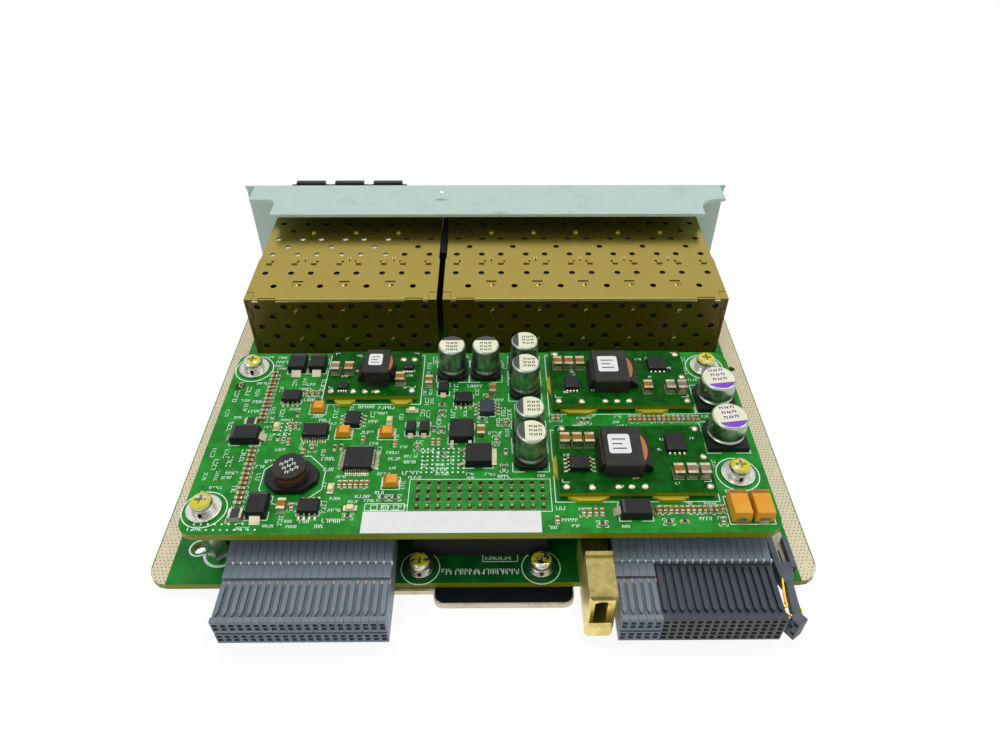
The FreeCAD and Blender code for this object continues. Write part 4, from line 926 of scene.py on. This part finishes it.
def cage(side, ports):
    """The perforated cover and rear sheet of one cage, with their lugs, tabs and hooks."""
    low, high = span(side + "_cage_cover")
    centre, rear, top = (low.x + high.x) / 2, low.y, high.z
    half = ports * PORT_PITCH / 2 + SHEET / 2
    centres = [centre + (k - (ports - 1) / 2) * PORT_PITCH for k in range(ports)]
    between = [centre + (k - ports / 2) * PORT_PITCH for k in range(1, ports)]
    hooks = (centre - half + HOOK_INSET, centre + half - HOOK_INSET)
    tab, wide, step = half - CORNER_TAB, half + SHEET, rear + 22.05
    outline = [(centre - tab, rear)]
    for x in hooks:
        outline += [(x + HOOK_WIDTH * way / 2, rear + depth)
                    for way, depth in ((-1, 0), (-1, 0.9), (1, 0.9), (1, 0))]
    outline += [(centre + x, y) for x, y in
                ((tab, rear), (tab, rear + 4), (wide, rear + 4), (wide, step), (half, step),
                 (half, high.y), (-half, high.y), (-half, step), (-wide, step),
                 (-wide, rear + 4), (-tab, rear + 4))]
    holes = vents(centres, COVER_ROWS, rear)
    holes += [centred_rectangle(x, rear + y, 0.6, 1.4) for x in between for y in BUMP_DISTANCES]
    holes += [centred_rectangle(x, rear + 8.15, 3.2, 3.4) for x in between]
    catches = [x + offset for x in centres for offset in (-VENT_OFFSET, VENT_OFFSET)]
    holes += [circle(x + (0.95 if x < centre else -0.95), rear + CATCH_DISTANCE + 0.95, 0.5, 10)
              for x in catches]
    cover = Piece("cage", "cage_bright")
    cover.sheet(outline, holes, top - SHEET, top, "cage")
    edges = [centre - tab, *(x + way * HOOK_WIDTH / 2 for x in hooks for way in (-1, 1)),
             centre + tab]
    # The rear lip between the hooks is a painted highlight in the lighter sheet.
    for x0, x1 in zip(edges[::2], edges[1::2]):
        cover.across([(rear, top - 0.9), (rear + SHEET, top - 0.9), (rear + SHEET, top - 0.3),
                      (rear + 0.05, top - 0.32)], x0, x1, "cage_bright")
        cover.across([(rear - 0.02, top - 0.36), (rear + 0.34, top - 0.1),
                      (rear + 0.5, top + 0.02)], x0, x1, "cage_bright")
    for x in catches:
        y = rear + CATCH_DISTANCE
        cover.block(x - 0.95, x + 0.95, y - 0.75, y + 0.75, top - 0.1, top + 0.4, "cage",
                    shrink=0.2)
    # The bumps and the window tabs take the painted highlight too.
    for x in between:
        for y in BUMP_DISTANCES:
            cover.block(x - 0.6, x + 0.6, rear + y - 0.65, rear + y + 0.65, top - 0.2,
                        top + 0.45, "cage_bright", shrink=0.15)
        cover.block(x - 0.25, x + 0.25, rear + 6.6, rear + 8.4, top - 0.7, top + 0.02,
                    "cage_bright")
        cover.block(x - 0.25, x + 1.0, rear + 8.0, rear + 8.5, top - 0.3, top + 0.06, "cage")
        cover.block(x - 1.9, x + 1.9, rear + 6.1, rear + 10.2, top - 0.45, top - 0.28, "cage")
    cover.done(side + "_cage_cover_vented", "cage_sheet", [side + "_cage_cover"], bevel=0.04)

    low, high = span(side + "_cage_rear")
    back = Piece("cage", "cage_bright")
    back.turn = UPRIGHT
    inner = half - SHEET
    holes = vents(centres, REAR_ROWS, 0.0)
    holes += [centred_rectangle(x, z, 0.6, 1.4) for x in between for z in REAR_BUMPS]
    back.sheet(rectangle(centre - inner, centre + inner, low.z, high.z - SHEET), holes,
               -high.y, -high.y + SHEET, "cage")
    for x in hooks:
        back.block(x - HOOK_WIDTH / 2 + 0.1, x + HOOK_WIDTH / 2 - 0.1, high.z - 1.2, high.z,
                   -rear - 0.55, -rear, "cage")
    # The rear sheet's bumps take the painted highlight.
    for x in between:
        for z in REAR_BUMPS:
            back.block(x - 0.25, x + 0.25, z - 0.7, z + 0.7, -high.y, -rear + 0.3, "cage_bright")
            back.block(x - 0.25, x + 0.9, z + 0.35, z + 0.7, -high.y, -rear + 0.35, "cage_bright")
    back.done(side + "_cage_rear_vented", "cage_sheet", [side + "_cage_rear"], bevel=0.05)
    # Black sheets behind the rear vents and under the vents of open ports are painted shade; under
    # a plugged port's vents lie the plug's stretches.
    port_shade_and_plugs = Piece("socket", "paper")
    for index, x in enumerate(centres):
        port_shade_and_plugs.block(x - 6.6, x + 6.6, rear + 1.2, rear + 1.3, 4.5, top - 1.6, "socket")
        for y0, y1, finish in PLUGGED_PORT if index < PLUGGED_PORTS[side] else OPEN_PORT:
            port_shade_and_plugs.block(x - 6.7, x + 6.7, rear + y0, rear + y1, top - 0.8, top - 0.55, finish)
    port_shade_and_plugs.done(side + "_cage_lining", "cage_sheet")


# ---- backplane connectors ----------------------------------------------------------------

COLUMN_PITCH = 1.85
# Heights of the contact holes in the modules' faces and in the right housing's face.
FACE_HOLES = (4.65, 6.05, 9.25, 10.65)
HOUSING_HOLES = (4.55, 6.15, 7.8, 9.4, 11.0)
# The side of a contact hole, and the thickness of the face round it.
HOLE = 1.16
SHELL = 1.2


def pointed(x, rear, tip, half, shoulder):
    """The outline of a rib with a pointed front end."""
    return [(x - half, rear), (x - half, tip + shoulder), (x, tip), (x + half, tip + shoulder),
            (x + half, rear)]


def connector(name, columns, heights, groove, body, bars, replaced):
    """Receptacle columns with square contact holes in their front faces."""
    low, high = span(replaced)
    front, back, top, bottom = low.y, high.y, high.z, low.z
    piece = Piece(body, "socket", bars)
    w = COLUMN_PITCH / 2 - (0.03 if groove else 0.0)
    for x in columns:
        piece.block(x - w, x + w, front + SHELL, back, bottom, top - 0.8, body)
        piece.block(x - w, x + w, front + 0.02, front + 1.2, top - 0.35, top, body)
        piece.block(x - w, x + w, front + 1.25, front + 1.3, bottom + 0.2, top - 0.9, "socket")
        if groove:
            piece.block(x - w, x + w, back - 3.6, back, top - 0.8, top, body)
            rib = pointed(x, back - 5.1, front + 1.5, 0.48, 1.2)
            piece.prism(rib, top - 0.81, top - 0.02, body)
        else:
            piece.prism(pointed(x, back - 0.9, front + 2.0, 0.55, 0.8), top - 0.81, top, body)
    piece.turn = UPRIGHT
    parts = [(bottom, top - 0.35, heights)]
    if groove:
        parts = [(bottom, 7.1, heights[:2]), (7.8, top - 0.35, heights[2:])]
    for x in columns:
        for z0, z1, inside in parts:
            holes = [centred_rectangle(x, z, HOLE, HOLE) for z in inside]
            piece.sheet(rectangle(x - w, x + w, z0, z1), holes, -front - SHELL, -front, bars)
        if groove:
            piece.block(x - w, x + w, 7.0, 7.9, -front - SHELL, -front - 0.45, body)
    piece.turn = LYING
    piece.done(name, "connector_plastic", [replaced], bevel=0.04)


def connectors():
    for side in ("left", "right"):
        node = side + "_connector_faces"
        middles = [x for x, *_ in round_solids(node)]
        connector(side + "_receptacle", middles, FACE_HOLES, True, "slate", "slate", node)
    low, high = span("right_connector_housing")
    count = round((high.x - low.x) / COLUMN_PITCH)
    rest = [low.x + COLUMN_PITCH * (k + 0.5) for k in range(count)]
    connector("right_housing_ribbed", rest, HOUSING_HOLES, False, "slate_dark", "slate_pale",
              "right_connector_housing")
    # Marks where contacts show at the wafer joints and the face edges; their white and copper
    # colours are painted glints.
    tips_and_glints = Piece("paper", "copper")
    face = span("left_connector_faces")[1].y
    for side in ("left", "right"):
        for low, high in separate_solids(side + "_connector_wafers"):
            tips_and_glints.block(high.x - 0.16, high.x + 0.26, face - 0.1, face + 0.5, 12.0, 12.95,
                       "paper", shrink=0.05)
        for low, high in separate_solids(side + "_connector_faces"):
            tips_and_glints.block(high.x - 0.06, high.x + 0.1, face - 4.8, face - 3.7, 11.0, 11.7, "copper")
    tips_and_glints.done("contact_tips_and_glints", "contact_metal")


# How far the cage covers reach past the panel's inner face, and the length of the dark strip of
# painted shade between the cages.
COVER_REACH, GAP_SHADE_LENGTH = 3.0, 34.0


def gap_shade():
    """A dark strip of painted shade in the gap between the two cages, behind the panel."""
    strip = Piece("film")
    end, x1 = span("left_cage_cover")[1], span("right_cage_cover")[0].x
    panel = end.y - COVER_REACH
    strip.block(end.x + 0.1, x1 - 0.1, panel - GAP_SHADE_LENGTH, panel - 0.05,
                BOARD_TOP, CAGE_TOP - SHEET, "film")
    strip.done("cage_gap_shade", "black_film")


# ---- prints and labels -------------------------------------------------------------------

PRINT_RAISE = 0.02


def stroke(piece, x0, x1, y0, y1, z, finish="ink"):
    """A flat printed mark."""
    piece.block(x0, x1, y0, y1, z - PRINT_RAISE, z + PRINT_RAISE, finish)


def frame_print(piece, x0, x1, y0, y1, z, line=0.2, gap=0.0):
    """A printed box; gap leaves the middle of each side bare."""
    for y in (y0, y1):
        for a, b in broken_line(x0, x1, gap):
            stroke(piece, a, b, y - line / 2, y + line / 2, z)
    for x in (x0, x1):
        for a, b in broken_line(y0, y1, gap):
            stroke(piece, x - line / 2, x + line / 2, a, b, z)


def frame_round(piece, low, high, margin, z, line=0.2, gap=0.0):
    frame_print(piece, low.x - margin, high.x + margin, low.y - margin, high.y + margin, z,
                line, gap)


def broken_line(low, high, gap):
    """The ends of a side's strokes."""
    if gap <= 0:
        return [(low, high)]
    reach = (high - low) * (1 - gap) / 2
    return [(low, low + reach), (high - reach, high)]


def ring_print(piece, x, y, radius, z, line=0.25, count=40, start=0.0):
    """A printed circle."""
    inner, outer = (piece.loop(circle(x, y, radius + way * line / 2, count, start),
                               z + PRINT_RAISE) for way in (-1, 1))
    piece.walls(inner, outer, "ink")


def print_row(piece, rng, x, y, count, size, upright, z):
    """A short row of printed marks, each of two or three plain strokes."""
    for k in range(count):
        step = k * size * 0.78
        mx, my = (x, y + step) if upright else (x + step, y)
        wide, tall = (size, size * 0.55) if upright else (size * 0.55, size)
        line = size * 0.16
        marks = [(0, wide, rng.choice((0, tall - line)), None), (0, line, 0, tall),
                 (wide - line, wide, rng.choice((0, tall * 0.4)), tall)]
        for x0, x1, y0, y1 in rng.sample(marks, rng.choice((2, 2, 3))):
            stroke(piece, mx + x0, mx + x1, my + y0, my + (y0 + line if y1 is None else y1), z)


# The bare tin ring on the main board.
TIN_RING = (-71.8, EDGE + 10.4)
# The box with three marks on the power board: the middle of each mark, and their ends along Y.
BOX_MARKS, BOX_MARKS_Y = (-26.0, -23.5, -21.0), (EDGE + 8.9, EDGE + 10.3)
# Fields of small vias on the power board, as x0, x1, y0, y1 and pitch.
VIA_FIELDS = ((-15.6, -4.5, 20.4, 28.2, 1.3), (-54.5, -49.5, 33.5, 37.5, 1.3),
              (-67.0, -52.0, 3.4, 6.6, 1.6))
PRINT_TRIES, PRINT_ROWS = 4000, 250


def taken_boxes():
    """Plan boxes on the power board that prints keep clear of."""
    boxes = []

    def take(low, high, margin, above, left=None):
        left = margin if left is None else left
        boxes.append((low.x - left, high.x + left, low.y - margin, high.y + above))

    for node in ("logic_chips", "control_chip", "rectifier_diodes", "power_transistors",
                 "tantalum_capacitors", "chip_capacitors", "chip_resistors", "indicator_lamps",
                 "can_bases", "choke_base", "flat_washers", "component_leads"):
        for low, high in separate_solids(node):
            if low.z > POWER_TOP - 1:
                take(low, high, 0.5, 0.5)
    for node in (*MODULES, "board_label"):
        take(*span(node), 0.8, 0.8)
    take(*span("header_pins"), 0.5, 0.6, left=1.5)
    return boxes


def clear_of(boxes, x0, x1, y0, y1):
    return all(x1 < a or x0 > b or y1 < c or y0 > d for a, b, c, d in boxes)


def frame_prints(ink, rng):
    """Frames round the parts, the rows of marks on the converter boards, and the marked box."""
    z = POWER_TOP
    for node, margin, gap in (("logic_chips", 0.25, 0.3), ("rectifier_diodes", 0.35, 0.3),
                              ("power_transistors", 0.3, 0.3),
                              ("tantalum_capacitors", 0.5, 0.0)):
        for low, high in separate_solids(node):
            frame_round(ink, low, high, margin, z, gap=gap)
    for low, high in separate_solids("chip_capacitors") + separate_solids("chip_resistors"):
        if rng.random() < 0.5:
            frame_round(ink, low, high, 0.55, z, 0.13, 0.4)
    for node in MODULES:
        low, high = span(node)
        frame_print(ink, low.x - 0.9, high.x + 0.7, low.y - 0.9, high.y + 0.6, z, 0.22)
        frame_print(ink, low.x + 0.9, high.x - 0.9, low.y + 3.4, high.y - 0.8, high.z, 0.14, 0.9)
        for _ in range(14):
            x, y = rng.uniform(low.x + 1, high.x - 3), rng.uniform(low.y + 0.8, high.y - 1.6)
            print_row(ink, rng, x, y, rng.choice((2, 3)), 0.8, False, high.z)
    for low, high in separate_solids("can_bases"):
        frame_round(ink, low, high, 0.4, z, 0.2, 0.35)
    low, high = span("header_pins")
    frame_print(ink, low.x - 1.6, high.x + 1.4, low.y - 0.5, high.y + 0.7, z, 0.16)
    frame_print(ink, -28.2, -18.8, EDGE + 8.7, EDGE + 10.7, z, 0.18)
    for x in BOX_MARKS:
        frame_print(ink, x - 0.75, x + 0.75, *BOX_MARKS_Y, z, 0.16)


def round_prints(ink):
    """Rings round the screws, standoffs and choke, and the fields of vias."""
    x, y, radius, _, _ = next(round_solids("choke_base"))
    ring_print(ink, x, y, radius + 1.8, POWER_TOP, count=8, start=math.pi / 8)
    for x, y, _, foot, _ in round_solids("flat_washers"):
        upper = foot > POWER_TOP - 1
        ring_print(ink, x, y, 5.25 if upper else 4.75, POWER_TOP if upper else BOARD_TOP)
    low, high = span("choke_core")
    round_print(ink, (low.x + high.x) / 2, (low.y + high.y) / 2, (high.x - low.x) / 2,
                high.z, "ink", 35)
    for x0, x1, y0, y1, step in VIA_FIELDS:
        for i in range(int((x1 - x0) / step) + 1):
            for j in range(int((y1 - y0) / step) + 1):
                place = circle(x0 + i * step, y0 + j * step + EDGE, 0.26, 8)
                ink.sheet(place, [], POWER_TOP - 0.02, POWER_TOP + 0.01, "ink")
    for x, y, *_ in round_solids("standoffs"):
        ring_print(ink, x, y, 4.2, BOARD_TOP, 0.7)
    ring_print(ink, *TIN_RING, 2.3, BOARD_TOP, 0.45)


def low_prints(ink):
    """Prints on the main board in front of the power board, and inside the broken frame."""
    z = BOARD_TOP + PRINT_RAISE
    low, high = span("broken_wafer_frame")
    stroke(ink, low.x - 1.0, high.x - 0.2, low.y + 0.8, high.y + 3.0, z, "cream")
    stroke(ink, low.x + 2.6, low.x + 3.05, low.y + 2.2, low.y + 6.2, BOARD_TOP + 0.05, "socket")
    rng = random.Random(11)
    print_row(ink, rng, -7.0, EDGE + 2.6, 15, 1.35, False, z)
    frame_print(ink, -0.5, 8.2, EDGE + 6.0, EDGE + 9.4, z, 0.18)
    for y in (6.5, 8.0):
        print_row(ink, rng, 0.1, EDGE + y, 10, 0.85, False, z)
    print_row(ink, rng, -10.6, EDGE + 3.0, 3, 1.0, False, z)
    for k in range(16):
        x = -9.5 + 1.15 * k
        stroke(ink, x, x + 0.25, EDGE + 2.3, EDGE + 3.5, BOARD_TOP)


def scattered_prints(ink, rng):
    """Rows of marks on the power board, wherever there is room."""
    boxes = taken_boxes()
    low, high = span("power_board")
    placed = 0
    for _ in range(PRINT_TRIES):
        upright = rng.random() < 0.4
        count, size = rng.choice((3, 4, 4, 5)), rng.choice((0.85, 1.0, 1.15))
        length = count * size * 0.78
        w, d = (size, length) if upright else (length, size)
        x, y = rng.uniform(low.x + 1.2, high.x - w - 1), rng.uniform(low.y + 1, high.y - d - 1)
        if x > 14 and rng.random() < 0.4:
            continue
        if clear_of(boxes, x, x + w, y, y + d):
            print_row(ink, rng, x, y, count, size, upright, POWER_TOP)
            boxes.append((x - 0.35, x + w + 0.35, y - 0.3, y + d + 0.3))
            placed += 1
        if placed > PRINT_ROWS:
            break


def prints():
    """White screen print on the boards."""
    rng = random.Random(SEED)
    ink = Piece("ink", "copper", "cream", "socket")
    frame_prints(ink, rng)
    round_prints(ink)
    low_prints(ink)
    scattered_prints(ink, rng)
    ink.done("screen_prints", "label_paper")


def labels():
    """The white strip label, and the small label on each converter core."""
    paper = Piece("paper", "print")
    low, high = span("board_label")
    paper.block(low.x, high.x, low.y, high.y, low.z, high.z, "paper")
    for low, high in separate_solids("converter_cores"):
        w, d = (high.x - low.x) * 0.58, (high.y - low.y) * 0.5
        x, y = low.x + (high.x - low.x) * 0.42, low.y + (high.y - low.y) * 0.55
        paper.prism(rounded(x - w / 2, x + w / 2, y - d / 2, y + d / 2, 0.7),
                    high.z, high.z + 0.05, "paper")
        for row in range(3):
            y0 = y + d * (0.2 - 0.24 * row)
            paper.block(x - w * 0.32, x + w * (0.3 - 0.16 * (row % 2)), y0, y0 + d * 0.06,
                        high.z + 0.04, high.z + 0.065, "print")
    paper.done("paper_labels", "label_paper", ["board_label"])


def bare_windings():
    """The lacquered wire that bulges from the right side of each converter core."""
    wire = Piece("wire")
    for low, high in separate_solids("converter_cores"):
        x, y = high.x - 0.5, (low.y + high.y) / 2
        reach = (high.y - low.y) * 0.36
        arc = [(x + reach * 0.42 * math.cos(math.radians(a)), y + reach * math.sin(math.radians(a)))
               for a in range(-90, 91, 15)]
        wire.prism(arc, low.z + 0.6, high.z - 0.8, "wire")
    wire.done("core_windings", "copper_wire")


def rounded(x0, x1, y0, y1, radius, chords=5):
    """A rectangle with round corners."""
    outline = []
    for x, y, start in ((x0 + radius, y0 + radius, 180), (x1 - radius, y0 + radius, 270),
                        (x1 - radius, y1 - radius, 0), (x0 + radius, y1 - radius, 90)):
        for k in range(chords + 1):
            angle = math.radians(start + 90 * k / chords)
            outline.append((x + radius * math.cos(angle), y + radius * math.sin(angle)))
    return outline


# ---- finishes of the card's own nodes ----------------------------------------------------

CAGE_PARTS = " ".join(side + part for side in ("left_cage_", "right_cage_")
                      for part in ("body", "cover", "rear", "dividers", "spacers"))
DRESSED = {
    "card": "main_board",
    "power": "power_board",
    "module": " ".join(MODULES),
    "panel": "front_panel",
    "plate": "stiffener_plate",
    "film": "insulating_film",
    "zinc": "standoffs",
    "cage": CAGE_PARTS,
    "socket": "left_port_connectors right_port_connectors header_socket",
    "rubber": "port_plugs",
    "slate": "left_connector_faces left_connector_wafers right_connector_faces "
             "right_connector_wafers",
    "slate_dark": "right_connector_housing",
    "slate_cut": "broken_wafer_frame broken_wafer_arm",
    "gold": "bent_contacts",
    "guide": "guide_block",
    "paper": "board_label",
    "black": "can_bases choke_base",
    "ferrite": "converter_cores choke_core",
    "former": "converter_coils",
    "wire": "choke_coil",
    "pad_yellow": "converter_pads",
    "tin": "component_leads",
}


def dress_nodes():
    for finish, names in DRESSED.items():
        for name in names.split():
            data = nodes[name].data
            data.materials.clear()
            data.materials.append(FINISHES[finish].material)
            for polygon in data.polygons:
                polygon.material_index = 0


# ---- camera, light and floor -------------------------------------------------------------

CAMERA_PLACE = (2.34, -172.5, 164.01)
CAMERA_PITCH, CAMERA_YAW, CAMERA_ROLL = 42.143, 0.674, 0.246
CAMERA_LENS = 27.234
AMBIENT = 0.3
# Share of the floor's glow in its shader, and its strength, which is a little over white.
GLOW_SHARE, GLOW = 0.88, 1.03
FLOOR_REACH = 4.0
FLOOR_DROP = 0.0002


def camera():
    pitch, yaw, roll = (math.radians(a) for a in (CAMERA_PITCH, CAMERA_YAW, CAMERA_ROLL))
    ahead = Vector((math.sin(yaw) * math.cos(pitch), math.cos(yaw) * math.cos(pitch),
                    -math.sin(pitch)))
    level = Vector((math.cos(yaw), -math.sin(yaw), 0))
    upright = level.cross(ahead)
    right = math.cos(roll) * level + math.sin(roll) * upright
    above = math.cos(roll) * upright - math.sin(roll) * level
    data = bpy.data.cameras.new("camera")
    data.sensor_width = 36
    data.lens = CAMERA_LENS
    data.clip_start = 0.01
    made = placed("camera", data)
    turn = Matrix((right, above, -ahead)).transposed().to_4x4()
    made.matrix_world = Matrix.Translation(Vector(CAMERA_PLACE) * MM) @ turn
    bpy.context.scene.camera = made


def lamp(name, place, size, power):
    """A lamp that shines at the card's middle."""
    data = bpy.data.lights.new(name, "AREA")
    data.shape = "RECTANGLE"
    data.size, data.size_y = size
    data.energy = power
    made = placed(name, data)
    made.location = place
    made.rotation_euler = (-Vector(place)).to_track_quat("-Z", "Y").to_euler()


def surroundings():
    """A white studio: a soft even light, and the white that the camera sees."""
    world = bpy.data.worlds.new("studio")
    bpy.context.scene.world = world
    world.use_nodes = True
    studio = Nodes(world.node_tree)
    ambient, shown = (studio.node("ShaderNodeBackground", {}, (1, 1, 1), strength)
                      for strength in (AMBIENT, 1.0))
    mixed = studio.node("ShaderNodeMixShader", {}, studio.seen(), ambient, shown)
    studio.node("ShaderNodeOutputWorld", {}, mixed)
    lamp("overhead", (0.05, 0.15, 0.9), (0.9, 0.6), 5.0)
    lamp("front_left", (-0.7, -0.6, 0.6), (0.5, 0.5), 2.6)
    lamp("right", (0.8, -0.1, 0.5), (0.4, 0.5), 1.4)


def floor():
    """A white table that glows a little to the eye, but keeps the card's shadow."""
    white = Finish("table_white", (0.9, 0.9, 0.9), roughness=0.85)
    glow = white.node("ShaderNodeEmission", {}, (1, 1, 1), GLOW)
    table = Wire(white, white.shader.outputs[0])
    white.show(white.node("ShaderNodeMixShader", {}, white.seen() * GLOW_SHARE, table, glow))
    data = bpy.data.meshes.new("table")
    corners = rectangle(-FLOOR_REACH, FLOOR_REACH, -FLOOR_REACH, FLOOR_REACH)
    data.from_pydata([(x, y, 0) for x, y in corners], [], [(0, 1, 2, 3)])
    data.materials.append(white.material)
    table = placed("table", data)
    table.location.z = -FLOOR_DROP


dress_nodes()
screws()
washers()
cans()
chip_bodies()
packages()
tantalums()
diodes()
lamps()
soldered_pins()
cage("left", 4)
cage("right", 6)
connectors()
gap_shade()
prints()
labels()
bare_windings()
camera()
surroundings()
floor()
bpy.context.scene.view_settings.view_transform = "Standard"
